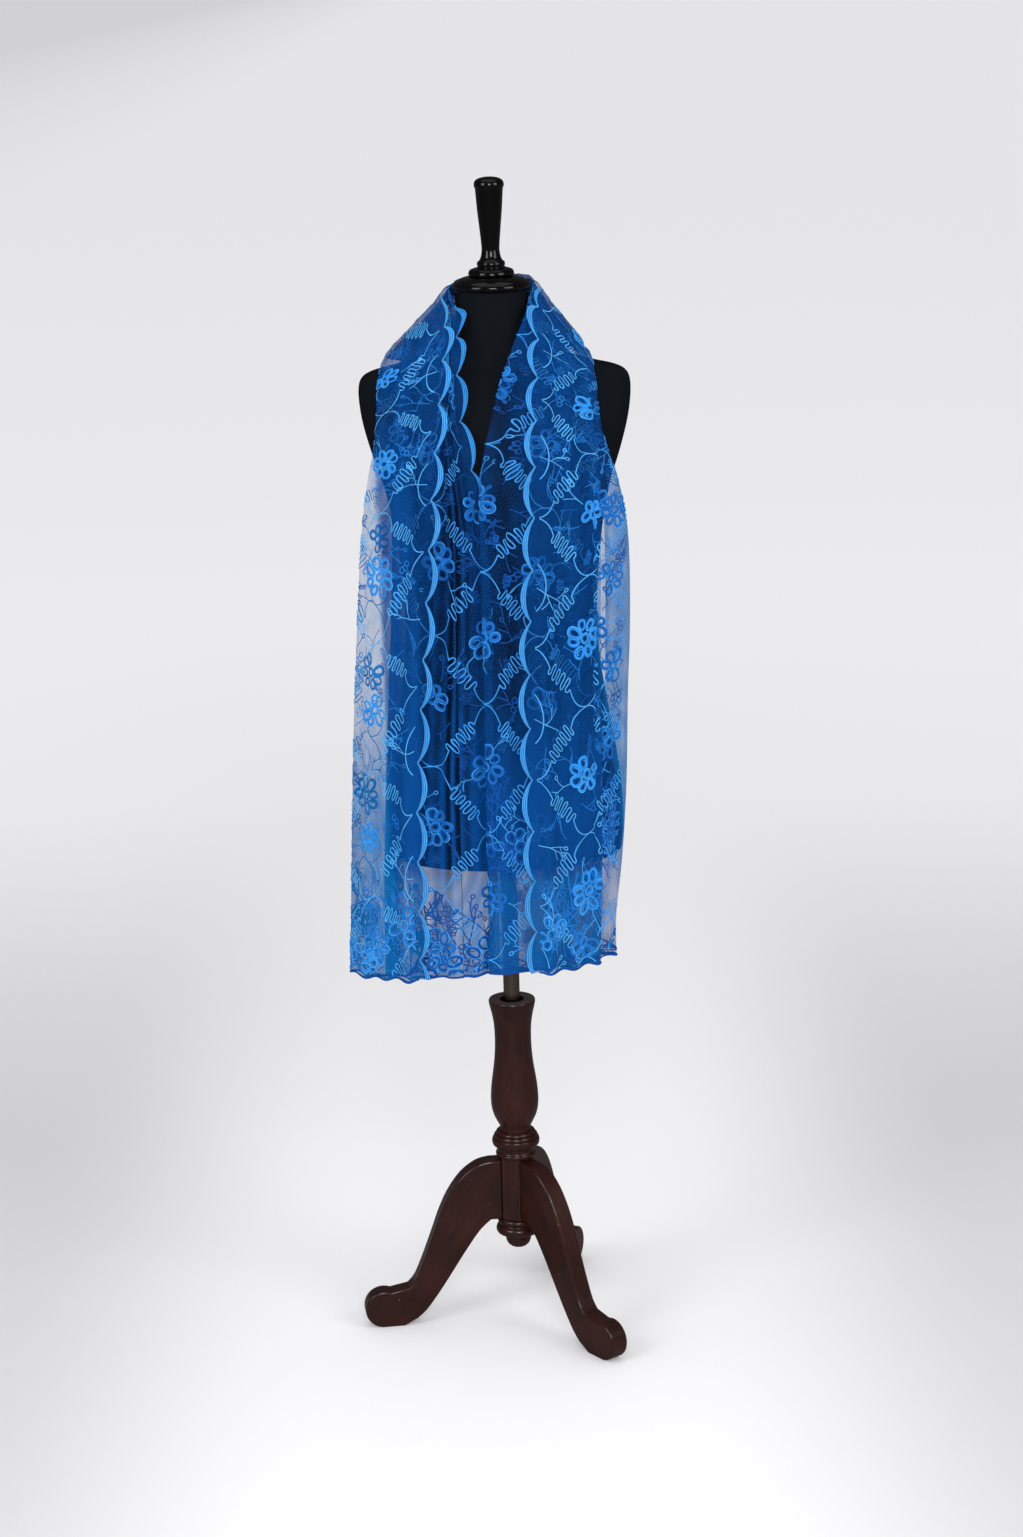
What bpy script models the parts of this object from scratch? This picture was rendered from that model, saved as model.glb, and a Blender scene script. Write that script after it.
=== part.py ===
"""A net dupatta draped round the neck of a limbless dress form on a turned wooden tripod stand.

Metres, +Z up, the viewer on the -Y side. The pole's axis is the line that everything is set out from,
and at the end the whole part is moved so that the middle of its box on the floor is the origin.
"""
import math
from collections import namedtuple

import bmesh
import bpy
from mathutils import Matrix, Vector

# Cloth: the wall thickness, the gaps at seams, and how finely the stretches are divided.
CLOTH_WALL = 0.0012
BORDER_WALL = 0.0015
SEAM_GAP = 0.0004
NECK_SEAM_GAP = 0.0007
ROWS_PER_LEVEL = 2
ROWS_PER_SCALLOP = 7

# Faces that meet at less than this angle are shaded as one smooth surface.
SMOOTH_ANGLE = 35.0
CLOTH_SMOOTH_ANGLE = 50.0

# How far apart two points are that a surface's direction is measured from.
LEVEL_NUDGE = 0.1
X_NUDGE = 0.002

# The scalloped border: one repeat along the edge, and its width at a cusp and at the middle.
SCALLOP_PITCH = 0.068
SCALLOP_CUSP_WIDTH = 0.002
SCALLOP_MIDDLE_WIDTH = 0.016
SCALLOP_FULLNESS = 0.8
BORDER_REACH = 0.010

# The borders' stretches, counted in levels below the crest: the under one goes beneath the right stretch.
BORDER_START = 0.34
UNDER_BORDER_START = 1.67
UNDER_BORDER_END = 5.0

# The stand's legs stand at equal angles; this is the left one's, counted from +X.
LEG_AZIMUTH = 187.6
LEG_THICKNESS = 0.027
LEG_EDGE_ROUND = 0.0025
LEG_ROUND_ANGLE = 60.0
LEG_POINTS_PER_SPAN = 2

# Turned parts.
TURNED_SIDES = 20
TORSO_SIDES = 30
POLE_RADIUS = 0.0113
POLE_SEAT = 0.4585
TORSO_BASE = 0.690
NECK_TOP = 1.4590
SEAT_GAP = 0.0003
MERGE_DISTANCE = 0.00002

# The torso and neck, from the flat base up: oval rings with a depth to the front and to the back.
Ring = namedtuple("Ring", "z half_width front back")
TORSO_RINGS = tuple(Ring(*row) for row in (
    (TORSO_BASE, 0.157, 0.108, 0.110),
    (0.735, 0.161, 0.112, 0.117),
    (0.800, 0.157, 0.110, 0.118),
    (0.880, 0.145, 0.103, 0.106),
    (0.950, 0.134, 0.096, 0.092),
    (1.010, 0.130, 0.092, 0.086),
    (1.080, 0.133, 0.099, 0.090),
    (1.150, 0.141, 0.114, 0.098),
    (1.200, 0.151, 0.120, 0.103),
    (1.240, 0.164, 0.119, 0.106),
    (1.280, 0.175, 0.110, 0.106),
    (1.310, 0.180, 0.097, 0.101),
    (1.334, 0.1805, 0.082, 0.093),
    (1.348, 0.1755, 0.069, 0.081),
    (1.356, 0.162, 0.060, 0.072),
    (1.362, 0.137, 0.055, 0.066),
    (1.370, 0.110, 0.052, 0.060),
    (1.382, 0.082, 0.049, 0.055),
    (1.398, 0.058, 0.047, 0.051),
    (1.420, 0.049, 0.046, 0.048),
    (NECK_TOP, 0.047, 0.045, 0.046),
))

# The left stretch, as seen from the front, from the crest of the shoulder down to the hem. The x columns
# are lines down the cloth; z, y and bow place the surface that the top layer lies on.
Level = namedtuple("Level", "name z_inner z_outer inner edge fold outer y_inner y_outer bow step tuck flute")
LEFT_STRETCH = tuple(Level(*row) for row in (
    ("crest", 1.462, 1.376, -0.059, -0.066, -0.122, -0.146, 0.000, 0.000, 0.000, 0.0026, 0.0, 0.0),
    ("collar", 1.440, 1.366, -0.051, -0.064, -0.127, -0.151, -0.034, -0.031, -0.006, 0.0031, 0.0, 0.0),
    ("yoke", 1.402, 1.348, -0.051, -0.067, -0.133, -0.155, -0.066, -0.054, -0.011, 0.0035, 0.0, 0.0),
    ("shoulder", 1.352, 1.312, -0.0495, -0.073, -0.140, -0.158, -0.100, -0.070, -0.017, 0.0040, 0.1, 0.0008),
    ("chest", 1.300, 1.270, -0.0440, -0.079, -0.143, -0.162, -0.130, -0.077, -0.022, 0.0043, 0.4, 0.0018),
    ("bust", 1.235, 1.220, -0.030, -0.086, -0.147, -0.173, -0.150, -0.078, -0.024, 0.0044, 0.9, 0.0028),
    ("ribs", 1.150, 1.145, -0.013, -0.093, -0.150, -0.184, -0.153, -0.070, -0.026, 0.0045, 1.0, 0.0038),
    ("waist", 1.030, 1.030, -0.010, -0.103, -0.157, -0.194, -0.151, -0.058, -0.028, 0.0045, 1.0, 0.0050),
    ("flank", 0.920, 0.920, -0.011, -0.112, -0.165, -0.202, -0.149, -0.052, -0.030, 0.0045, 1.0, 0.0060),
    ("hip", 0.800, 0.800, -0.012, -0.121, -0.173, -0.209, -0.147, -0.050, -0.030, 0.0045, 1.0, 0.0068),
    ("seat", 0.680, 0.676, -0.012, -0.1235, -0.178, -0.215, -0.143, -0.050, -0.028, 0.0045, 1.0, 0.0076),
    ("hem", 0.553, 0.538, -0.012, -0.1246, -0.181, -0.2215, -0.139, -0.050, -0.026, 0.0045, 1.0, 0.0084),
))
RIGHT_STRETCH = tuple(Level(*row) for row in (
    ("crest", 1.463, 1.374, 0.059, 0.065, 0.118, 0.133, 0.000, 0.000, 0.000, 0.0024, 0.0, 0.0),
    ("collar", 1.440, 1.368, 0.0475, 0.0615, 0.121, 0.1355, -0.038, -0.037, -0.006, 0.0027, 0.0, 0.0),
    ("yoke", 1.403, 1.352, 0.0275, 0.061, 0.123, 0.1375, -0.069, -0.064, -0.011, 0.0034, 0.0, 0.0),
    ("shoulder", 1.355, 1.317, 0.006, 0.058, 0.126, 0.1405, -0.100, -0.084, -0.016, 0.0040, 0.0, 0.0008),
    ("chest", 1.300, 1.275, -0.010, 0.054, 0.131, 0.147, -0.129, -0.094, -0.019, 0.0043, 0.0, 0.0018),
    ("bust", 1.235, 1.222, -0.0235, 0.051, 0.135, 0.163, -0.150, -0.094, -0.021, 0.0044, 0.0, 0.0028),
    ("ribs", 1.150, 1.145, -0.0265, 0.0475, 0.1345, 0.1765, -0.153, -0.084, -0.025, 0.0045, 0.0, 0.0038),
    ("waist", 1.030, 1.030, -0.0265, 0.0405, 0.1325, 0.178, -0.151, -0.072, -0.027, 0.0045, 0.0, 0.0050),
    ("flank", 0.920, 0.920, -0.027, 0.0365, 0.1315, 0.173, -0.149, -0.068, -0.027, 0.0045, 0.0, 0.0060),
    ("hip", 0.800, 0.800, -0.028, 0.0375, 0.130, 0.168, -0.147, -0.068, -0.025, 0.0045, 0.0, 0.0068),
    ("seat", 0.680, 0.680, -0.029, 0.0375, 0.1275, 0.158, -0.143, -0.070, -0.023, 0.0045, 0.0, 0.0076),
    ("hem", 0.553, 0.557, -0.030, 0.0385, 0.1245, 0.1435, -0.139, -0.072, -0.019, 0.0045, 0.0, 0.0084),
))

# Soft flutes run down the cloth from the scalloped edge outwards, all layers together: how far apart
# they are, as a share of the way from the edge line to the outer line, and how much lower a crest hangs.
FLUTE_PITCH = 0.31
FLUTE_DROP = 0.9

# How each layer runs across its stretch: a share of the way between two of the lines above, how many
# layer steps it lies below the top surface, and how many more where the stretch is tucked in.
Fold = namedtuple("Fold", "from_line to_line share depth tuck_depth")
LEFT_FRONT_FOLDS = tuple(Fold(*row) for row in (
    ("edge", "outer", 0.0000, 0.00, 0.0),
    ("edge", "outer", 0.1550, 0.00, 0.0),
    ("edge", "outer", 0.3100, 0.10, 0.0),
    ("edge", "outer", 0.4650, -0.10, 0.0),
    ("edge", "outer", 0.6200, 0.05, 0.0),
    ("edge", "outer", 0.7750, 0.00, 0.0),
    ("edge", "outer", 0.8900, 0.05, 0.0),
    ("edge", "outer", 0.9650, 0.25, 0.0),
    ("edge", "outer", 1.0000, 1.05, 0.0),
    ("edge", "outer", 0.9650, 1.85, 0.0),
    ("edge", "outer", 0.8900, 1.75, 0.0),
    ("edge", "outer", 0.7750, 1.35, 0.0),
    ("edge", "outer", 0.6200, 1.15, 0.0),
    ("edge", "outer", 0.4650, 1.05, 0.0),
))
LEFT_UNDER_FOLDS = tuple(Fold(*row) for row in (
    ("edge", "outer", 0.3100, 3.30, 0.3),
    ("edge", "outer", 0.4650, 3.50, 0.3),
    ("edge", "fold", 0.8800, 3.50, 0.3),
    ("edge", "fold", 1.0000, 2.90, 0.2),
    ("edge", "fold", 0.8800, 2.35, 0.1),
    ("edge", "outer", 0.4650, 2.20, 0.1),
    ("edge", "outer", 0.3100, 2.20, 0.1),
    ("edge", "outer", 0.1550, 2.25, 0.1),
    ("inner", "edge", 0.98, 2.00, 0.3),
    ("inner", "edge", 0.89, 1.60, 0.2),
    ("inner", "edge", 0.81, 2.50, 0.5),
    ("inner", "edge", 0.73, 2.60, 0.6),
    ("inner", "edge", 0.65, 1.60, 0.2),
    ("inner", "edge", 0.57, 1.55, 0.2),
    ("inner", "edge", 0.49, 2.50, 0.6),
    ("inner", "edge", 0.42, 2.40, 0.6),
    ("inner", "edge", 0.34, 1.75, 0.4),
    ("inner", "edge", 0.26, 1.90, 1.3),
    ("inner", "edge", 0.18, 2.10, 2.7),
    ("inner", "edge", 0.09, 2.20, 2.9),
    ("inner", "edge", 0.00, 2.20, 2.8),
))
RIGHT_FRONT_FOLDS = tuple(Fold(*row) for row in (
    ("edge", "outer", 0.0000, 0.00, 0.0),
    ("edge", "outer", 0.1550, 0.00, 0.0),
    ("edge", "outer", 0.3100, 0.10, 0.0),
    ("edge", "outer", 0.4650, -0.10, 0.0),
    ("edge", "outer", 0.6200, 0.05, 0.0),
    ("edge", "fold", 0.8800, 0.05, 0.0),
    ("edge", "fold", 0.9600, 0.05, 0.0),
    ("edge", "fold", 1.0000, 0.60, 0.0),
    ("edge", "fold", 0.9600, 1.15, 0.0),
    ("edge", "fold", 0.8800, 1.15, 0.0),
    ("edge", "outer", 0.6200, 1.10, 0.0),
    ("edge", "outer", 0.4650, 1.05, 0.0),
    ("edge", "outer", 0.3100, 1.15, 0.0),
))
RIGHT_MIDDLE_FOLDS = tuple(Fold(*row) for row in (
    ("edge", "outer", 0.4650, 3.60, 0.0),
    ("edge", "outer", 0.3100, 3.60, 0.0),
    ("edge", "outer", 0.1550, 3.60, 0.0),
    ("inner", "edge", 0.75, 3.40, 0.0),
    ("inner", "edge", 0.42, 3.60, 0.0),
    ("inner", "edge", 0.09, 3.55, 0.0),
    ("inner", "edge", 0.00, 3.00, 0.0),
    ("inner", "edge", 0.09, 2.45, 0.0),
    ("inner", "edge", 0.30, 1.95, 0.0),
    ("inner", "edge", 0.52, 2.45, 0.0),
    ("inner", "edge", 0.75, 2.05, 0.0),
    ("edge", "outer", 0.1550, 2.45, 0.0),
    ("edge", "outer", 0.3100, 2.40, 0.0),
    ("edge", "outer", 0.4650, 2.35, 0.0),
    ("edge", "outer", 0.6200, 2.35, 0.0),
    ("edge", "outer", 0.7750, 2.20, 0.0),
    ("edge", "outer", 0.8900, 1.95, 0.0),
    ("edge", "outer", 0.9700, 2.05, 0.0),
    ("edge", "outer", 1.0000, 2.75, 0.0),
    ("edge", "outer", 0.9700, 3.45, 0.0),
    ("edge", "outer", 0.8900, 3.50, 0.0),
    ("edge", "outer", 0.7750, 3.60, 0.0),
))

# The stretch behind the neck, from the left crest round the nape to the right crest.
Station = namedtuple("Station", "azimuth top_radius top_z low_radius low_z pleat")
BAND = tuple(Station(*row) for row in (
    (180.0, 0.0600, 1.4620, 0.1450, 1.377, 0.0016),
    (157.0, 0.0600, 1.4720, 0.1300, 1.3565, 0.0030),
    (125.0, 0.0610, 1.4770, 0.1070, 1.3430, 0.0040),
    (90.0, 0.0620, 1.4740, 0.0965, 1.3340, 0.0042),
    (55.0, 0.0610, 1.4790, 0.1050, 1.3430, 0.0040),
    (23.0, 0.0600, 1.4760, 0.1240, 1.3590, 0.0030),
    (0.0, 0.0600, 1.4630, 0.1320, 1.375, 0.0016),
))
BAND_PLEATS = 5
BAND_ROWS_PER_STATION = 3
BAND_COLUMNS_ACROSS = 20
BAND_DEPTH = 0.0032
BAND_DRIFT = 0.04

# Profiles of turned parts, from the top down: pairs of height and radius.
CAP_PROFILE = (
    (1.4770, 0.0290), (1.4760, 0.0360), (1.4730, 0.0440), (1.4690, 0.0498), (1.4650, 0.0518),
    (1.4618, 0.0510), (1.4593, 0.0480),
)
FINIAL_PROFILE = (
    (1.6055, 0.0060), (1.6040, 0.0130), (1.6010, 0.0180), (1.5970, 0.0197), (1.5930, 0.0196),
    (1.5890, 0.0183), (1.5640, 0.0165), (1.5400, 0.0141), (1.5180, 0.0121), (1.5090, 0.0120),
    (1.5010, 0.0136), (1.4970, 0.0160), (1.4955, 0.0180), (1.4925, 0.0187), (1.4895, 0.0180),
    (1.4885, 0.0190), (1.4870, 0.0240), (1.4850, 0.0285), (1.4810, 0.0303), (1.4785, 0.0300),
    (1.4773, 0.0285),
)
POST_PROFILE = (
    (0.4750, 0.0290), (0.4745, 0.0318), (0.4720, 0.0325), (0.4690, 0.0322), (0.4640, 0.0312),
    (0.4520, 0.0284), (0.4380, 0.0263), (0.4220, 0.0255), (0.4020, 0.0258), (0.3800, 0.0277),
    (0.3560, 0.0312), (0.3420, 0.0328), (0.3280, 0.0335), (0.3160, 0.0328), (0.3050, 0.0303),
    (0.2950, 0.0258), (0.2880, 0.0222), (0.2850, 0.0214), (0.2813, 0.0214),
)
POST_HOLE_RADIUS = 0.0165
RINGS_PROFILE = (
    (0.2810, 0.0225), (0.2800, 0.0262), (0.2775, 0.0278), (0.2750, 0.0272), (0.2745, 0.0300),
    (0.2720, 0.0310), (0.2700, 0.0306), (0.2695, 0.0325), (0.2650, 0.0336), (0.2600, 0.0325),
    (0.2570, 0.0290), (0.2560, 0.0258), (0.2500, 0.0262), (0.2480, 0.0284), (0.2450, 0.0286),
    (0.2423, 0.0270),
)
BASE_PROFILE = (
    (0.1497, 0.0245), (0.1490, 0.0275), (0.1460, 0.0288), (0.1430, 0.0280), (0.1415, 0.0262),
    (0.1395, 0.0262), (0.1370, 0.0295), (0.1325, 0.0311), (0.1275, 0.0295), (0.1243, 0.0240),
)
BALL_PROFILE = (
    (0.1240, 0.0170), (0.1200, 0.0178), (0.1150, 0.0176), (0.1090, 0.0150), (0.1050, 0.0100),
    (0.1040, 0.0050),
)
BLOCK_TOP = 0.2420
BLOCK_BASE = 0.1500
BLOCK_WIDTH = 0.0460
BLOCK_SIDES = 6

# A leg's outline in its own plane: pairs of distance from the axis and height. The foot is an arc.
LEG_TOP_EDGE = (
    (0.0400, 0.2390), (0.0580, 0.2345), (0.0790, 0.2195), (0.0970, 0.1960), (0.1110, 0.1680),
    (0.1240, 0.1330), (0.1380, 0.0960), (0.1500, 0.0690), (0.1600, 0.0570),
)
LEG_UNDER_EDGE = (
    (0.1480, 0.0105), (0.1350, 0.0225), (0.1180, 0.0450), (0.0985, 0.0740), (0.0790, 0.1040),
    (0.0570, 0.1350), (0.0400, 0.1510),
)
FOOT_CENTRE = (0.1960, 0.0270)
FOOT_RADIUS = 0.0270
FOOT_ARC = (112.0, -90.0)
FOOT_ARC_POINTS = 12
SOLE_INNER = 0.1680
LEG_ROOT = BLOCK_WIDTH / 2 + SEAT_GAP

COLOURS = {
    "net": (0.010, 0.110, 0.360), "satin": (0.060, 0.300, 0.820), "jersey": (0.010, 0.011, 0.014),
    "lacquer": (0.006, 0.006, 0.007), "gunmetal": (0.160, 0.130, 0.110), "mahogany": (0.045, 0.014, 0.010),
}
FINISHES = {
    "net": (0.75, 0.0), "satin": (0.35, 0.0), "jersey": (0.90, 0.0),
    "lacquer": (0.15, 0.0), "gunmetal": (0.30, 1.0), "mahogany": (0.35, 0.0),
}


def clear_scene():
    for thing in list(bpy.data.objects):
        bpy.data.objects.remove(thing, do_unlink=True)


def material(name):
    """The named material, made on first use."""
    known = bpy.data.materials.get(name)
    if known:
        return known
    made = bpy.data.materials.new(name)
    made.use_nodes = True
    shader = made.node_tree.nodes["Principled BSDF"]
    shader.inputs["Base Color"].default_value = (*COLOURS[name], 1.0)
    shader.inputs["Roughness"].default_value = FINISHES[name][0]
    shader.inputs["Metallic"].default_value = FINISHES[name][1]
    made.diffuse_color = (*COLOURS[name], 1.0)
    return made


def add_object(name, mesh, finish, smooth_angle=SMOOTH_ANGLE):
    """Link the mesh as the named sub-part."""
    made = bpy.data.objects.new(name, mesh)
    bpy.context.scene.collection.objects.link(made)
    mesh.materials.append(material(finish))
    mesh.shade_smooth()
    mesh.set_sharp_from_angle(angle=math.radians(smooth_angle))
    return made


def spline(values, place):
    """A smooth curve through evenly numbered values, read at place (0 is the first value)."""
    last = len(values) - 1
    i = min(int(place), last - 1)
    t = place - i
    a, b = values[i], values[i + 1]
    slope_a = (values[min(i + 1, last)] - values[max(i - 1, 0)]) / 2
    slope_b = (values[min(i + 2, last)] - a) / 2
    return (a * (2 * t ** 3 - 3 * t ** 2 + 1) + slope_a * (t ** 3 - 2 * t ** 2 + t)
            + b * (3 * t ** 2 - 2 * t ** 3) + slope_b * (t ** 3 - t ** 2))


def columns_of(table):
    """A table's columns of numbers, by name."""
    return {name: [getattr(row, name) for row in table] for name in table[0]._fields}


class Stretch:
    """One hanging stretch: its lines, and the surface that its top layer lies on."""

    def __init__(self, table):
        self.columns = columns_of(table)
        self.levels = len(table) - 1

    def value(self, name, level):
        return spline(self.columns[name], level)

    def surface(self, x, level):
        """The point of the top surface on this level at this x."""
        inner, outer = self.value("inner", level), self.value("outer", level)
        share = (x - inner) / (outer - inner)
        bow = self.value("bow", level) * 4 * share * (1 - share)
        y = self.value("y_inner", level) * (1 - share) + self.value("y_outer", level) * share + bow
        z = self.value("z_inner", level) * (1 - share) + self.value("z_outer", level) * share
        flute = self.flute(x, level)
        return Vector((x, y - flute, z - flute * FLUTE_DROP))

    def flute(self, x, level):
        """How far the flute at this x stands out."""
        edge, outer = self.value("edge", level), self.value("outer", level)
        share = (x - edge) / (outer - edge)
        if share <= 0:
            return 0.0
        return self.value("flute", level) * (1 - math.cos(2 * math.pi * share / FLUTE_PITCH)) / 2

    def outward(self, x, level):
        """The direction away from the form, square to the top surface; level at the crest."""
        above, below = max(level - LEVEL_NUDGE, 0.0), min(level + LEVEL_NUDGE, self.levels)
        along = self.surface(x, below) - self.surface(x, above)
        across = self.surface(x + X_NUDGE, level) - self.surface(x - X_NUDGE, level)
        normal = along.cross(across)
        if level == 0:
            normal.y = 0.0
            return normal.normalized() if normal.z > 0 else -normal.normalized()
        return normal.normalized() if normal.y < 0 else -normal.normalized()

    def fold_point(self, fold, level):
        """Where one fold of a layer lies on this level."""
        start, end = self.value(fold.from_line, level), self.value(fold.to_line, level)
        x = start * (1 - fold.share) + end * fold.share
        steps = fold.depth + fold.tuck_depth * self.value("tuck", level)
        return self.surface(x, level) - self.outward(x, level) * steps * self.value("step", level)

    def layer(self, folds):
        """The layer's middle surface as rows of points, from the crest to the hem."""
        rows = self.levels * ROWS_PER_LEVEL
        return [[self.fold_point(fold, row / ROWS_PER_LEVEL) for fold in folds] for row in range(rows + 1)]


def wall(name, rows, thickness, finish):
    """A wall of even thickness about a grid of points."""
    mesh = bpy.data.meshes.new(name)
    build = bmesh.new()
    grid = [[build.verts.new(point) for point in row] for row in rows]
    for upper, lower in zip(grid, grid[1:]):
        for a, b, c, d in zip(upper, upper[1:], lower[1:], lower):
            build.faces.new((a, b, c, d))
    build.to_mesh(mesh)
    build.free()
    made = add_object(name, mesh, finish, CLOTH_SMOOTH_ANGLE)
    solid = made.modifiers.new("wall", "SOLIDIFY")
    solid.thickness = thickness
    solid.offset = 0.0
    solid.use_even_offset = False
    return made


def border(name, stretch, rows, edge, side, first_level, last_level):
    """The scalloped strip beside a layer's edge column, on the side (+1 or -1 in X) where no cloth is."""
    points = [row[edge] for row in rows]
    beside = []
    for k, point in enumerate(points):
        level = k / ROWS_PER_LEVEL
        step = stretch.surface(point.x + side * BORDER_REACH, level) - stretch.surface(point.x, level)
        beside.append(point - step)
    first, last = int(first_level * ROWS_PER_LEVEL), int(last_level * ROWS_PER_LEVEL)
    strip, travelled = [], 0.0
    for k in range(first, last):
        run = (points[k + 1] - points[k]).length
        count = max(2, round(run / SCALLOP_PITCH * ROWS_PER_SCALLOP))
        for i in range(count + (k == last - 1)):
            t = i / count
            base = points[k].lerp(points[k + 1], t)
            away = (base - beside[k].lerp(beside[k + 1], t)).normalized()
            phase = (travelled + run * t) / SCALLOP_PITCH
            swell = abs(math.sin(math.pi * phase)) ** SCALLOP_FULLNESS
            width = SCALLOP_CUSP_WIDTH + (SCALLOP_MIDDLE_WIDTH - SCALLOP_CUSP_WIDTH) * swell
            strip.append([base + away * SEAM_GAP, base + away * (SEAM_GAP + width)])
        travelled += run
    return wall(name, strip, BORDER_WALL, "satin")


def neck_band():
    """The gathered cloth behind the neck: one pleated wall from the left crest to the right."""
    columns = columns_of(BAND)
    rows = []
    stations = (len(BAND) - 1) * BAND_ROWS_PER_STATION
    for k in range(stations + 1):
        value = {name: spline(columns[name], k / BAND_ROWS_PER_STATION) for name in columns}
        angle = math.radians(value["azimuth"])
        away = Vector((math.cos(angle), math.sin(angle), 0.0))
        if k in (0, stations):
            away = Vector((round(away.x), 0.0, 0.0))
        top = away * value["top_radius"] + Vector((0, 0, value["top_z"]))
        low = away * value["low_radius"] + Vector((0, 0, value["low_z"]))
        run = low - top
        normal = Vector((away.x * -run.z, away.y * -run.z, run.dot(away))).normalized()
        row = []
        for i in range(BAND_COLUMNS_ACROSS + 1):
            share = i / BAND_COLUMNS_ACROSS
            warped = share + BAND_DRIFT * math.sin(2 * math.pi * share + angle)
            swing = math.cos(2 * math.pi * BAND_PLEATS * warped) * value["pleat"]
            point = top + run * share + normal * (swing - BAND_DEPTH)
            if k in (0, stations):
                point.y = NECK_SEAM_GAP
            row.append(point)
        rows.append(row)
    return wall("neck_band", rows, CLOTH_WALL, "net")


def turned(name, profile, finish, sides=TURNED_SIDES, bore=()):
    """A turned solid: the profile is spun about the pole's axis. bore is a profile down a blind hole."""
    mesh = bpy.data.meshes.new(name)
    build = bmesh.new()
    outline = list(reversed(bore)) + list(profile)
    verts = [build.verts.new((radius, 0.0, z)) for z, radius in outline]
    edges = [build.edges.new(pair) for pair in zip(verts, verts[1:])]
    bmesh.ops.spin(build, geom=verts + edges, cent=(0, 0, 0), axis=(0, 0, 1),
                   angle=2 * math.pi, steps=sides, use_merge=True)
    bmesh.ops.remove_doubles(build, verts=build.verts, dist=MERGE_DISTANCE)
    rims = [edge for edge in build.edges if len(edge.link_faces) == 1]
    bmesh.ops.holes_fill(build, edges=rims, sides=0)
    bmesh.ops.recalc_face_normals(build, faces=build.faces)
    build.to_mesh(mesh)
    build.free()
    return add_object(name, mesh, finish)


def torso():
    """The padded torso and neck: oval rings with a front and a back depth of their own."""
    mesh = bpy.data.meshes.new("form_torso")
    build = bmesh.new()
    rings = []
    for ring in TORSO_RINGS:
        verts = []
        for i in range(TORSO_SIDES):
            angle = 2 * math.pi * i / TORSO_SIDES
            depth = ring.back if math.sin(angle) > 0 else ring.front
            place = (ring.half_width * math.cos(angle), depth * math.sin(angle), ring.z)
            verts.append(build.verts.new(place))
        rings.append(verts)
    for lower, upper in zip(rings, rings[1:]):
        for i in range(TORSO_SIDES):
            j = (i + 1) % TORSO_SIDES
            build.faces.new((lower[i], lower[j], upper[j], upper[i]))
    build.faces.new(list(reversed(rings[0])))
    build.faces.new(rings[-1])
    build.to_mesh(mesh)
    build.free()
    return add_object("form_torso", mesh, "jersey")


def block():
    """The faceted block that the three legs are joined to."""
    mesh = bpy.data.meshes.new("stand_block")
    build = bmesh.new()
    radius = BLOCK_WIDTH / 2 / math.cos(math.pi / BLOCK_SIDES)
    turn = math.radians(LEG_AZIMUTH)
    bmesh.ops.create_cone(build, cap_ends=True, segments=BLOCK_SIDES, radius1=radius, radius2=radius,
                          depth=BLOCK_TOP - BLOCK_BASE,
                          matrix=Matrix.Translation((0, 0, (BLOCK_TOP + BLOCK_BASE) / 2))
                          @ Matrix.Rotation(turn, 4, "Z"))
    build.to_mesh(mesh)
    build.free()
    return add_object("stand_block", mesh, "mahogany")


def smooth_outline(points, per_span):
    """A smooth open line through the points."""
    reach, height = [p[0] for p in points], [p[1] for p in points]
    count = (len(points) - 1) * per_span
    return [(spline(reach, i / per_span), spline(height, i / per_span)) for i in range(count + 1)]


def leg_outline():
    """Round the leg: down its top edge, round the foot, along the sole and up the under edge."""
    start, end = (math.radians(a) for a in FOOT_ARC)
    foot = []
    for i in range(FOOT_ARC_POINTS + 1):
        angle = start + (end - start) * i / FOOT_ARC_POINTS
        foot.append((FOOT_CENTRE[0] + FOOT_RADIUS * math.cos(angle),
                     FOOT_CENTRE[1] + FOOT_RADIUS * math.sin(angle)))
    top = [(LEG_ROOT, LEG_TOP_EDGE[0][1])] + smooth_outline(LEG_TOP_EDGE, LEG_POINTS_PER_SPAN)
    under = smooth_outline(LEG_UNDER_EDGE, LEG_POINTS_PER_SPAN) + [(LEG_ROOT, LEG_UNDER_EDGE[-1][1])]
    return top + foot + [(SOLE_INNER, 0.0)] + under


def leg(name, azimuth):
    """A board leg, its outline extruded to its thickness and its edges rounded."""
    mesh = bpy.data.meshes.new(name)
    build = bmesh.new()
    half = LEG_THICKNESS / 2
    face = build.faces.new([build.verts.new((reach, -half, z)) for reach, z in leg_outline()])
    pushed = bmesh.ops.extrude_face_region(build, geom=[face])
    verts = [v for v in pushed["geom"] if isinstance(v, bmesh.types.BMVert)]
    bmesh.ops.translate(build, verts=verts, vec=(0, LEG_THICKNESS, 0))
    bmesh.ops.recalc_face_normals(build, faces=build.faces)
    build.to_mesh(mesh)
    build.free()
    made = add_object(name, mesh, "mahogany")
    made.rotation_euler.z = math.radians(azimuth)
    rounding = made.modifiers.new("round", "BEVEL")
    rounding.width = LEG_EDGE_ROUND
    rounding.segments = 1
    rounding.limit_method = "ANGLE"
    rounding.angle_limit = math.radians(LEG_ROUND_ANGLE)
    return made


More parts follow.
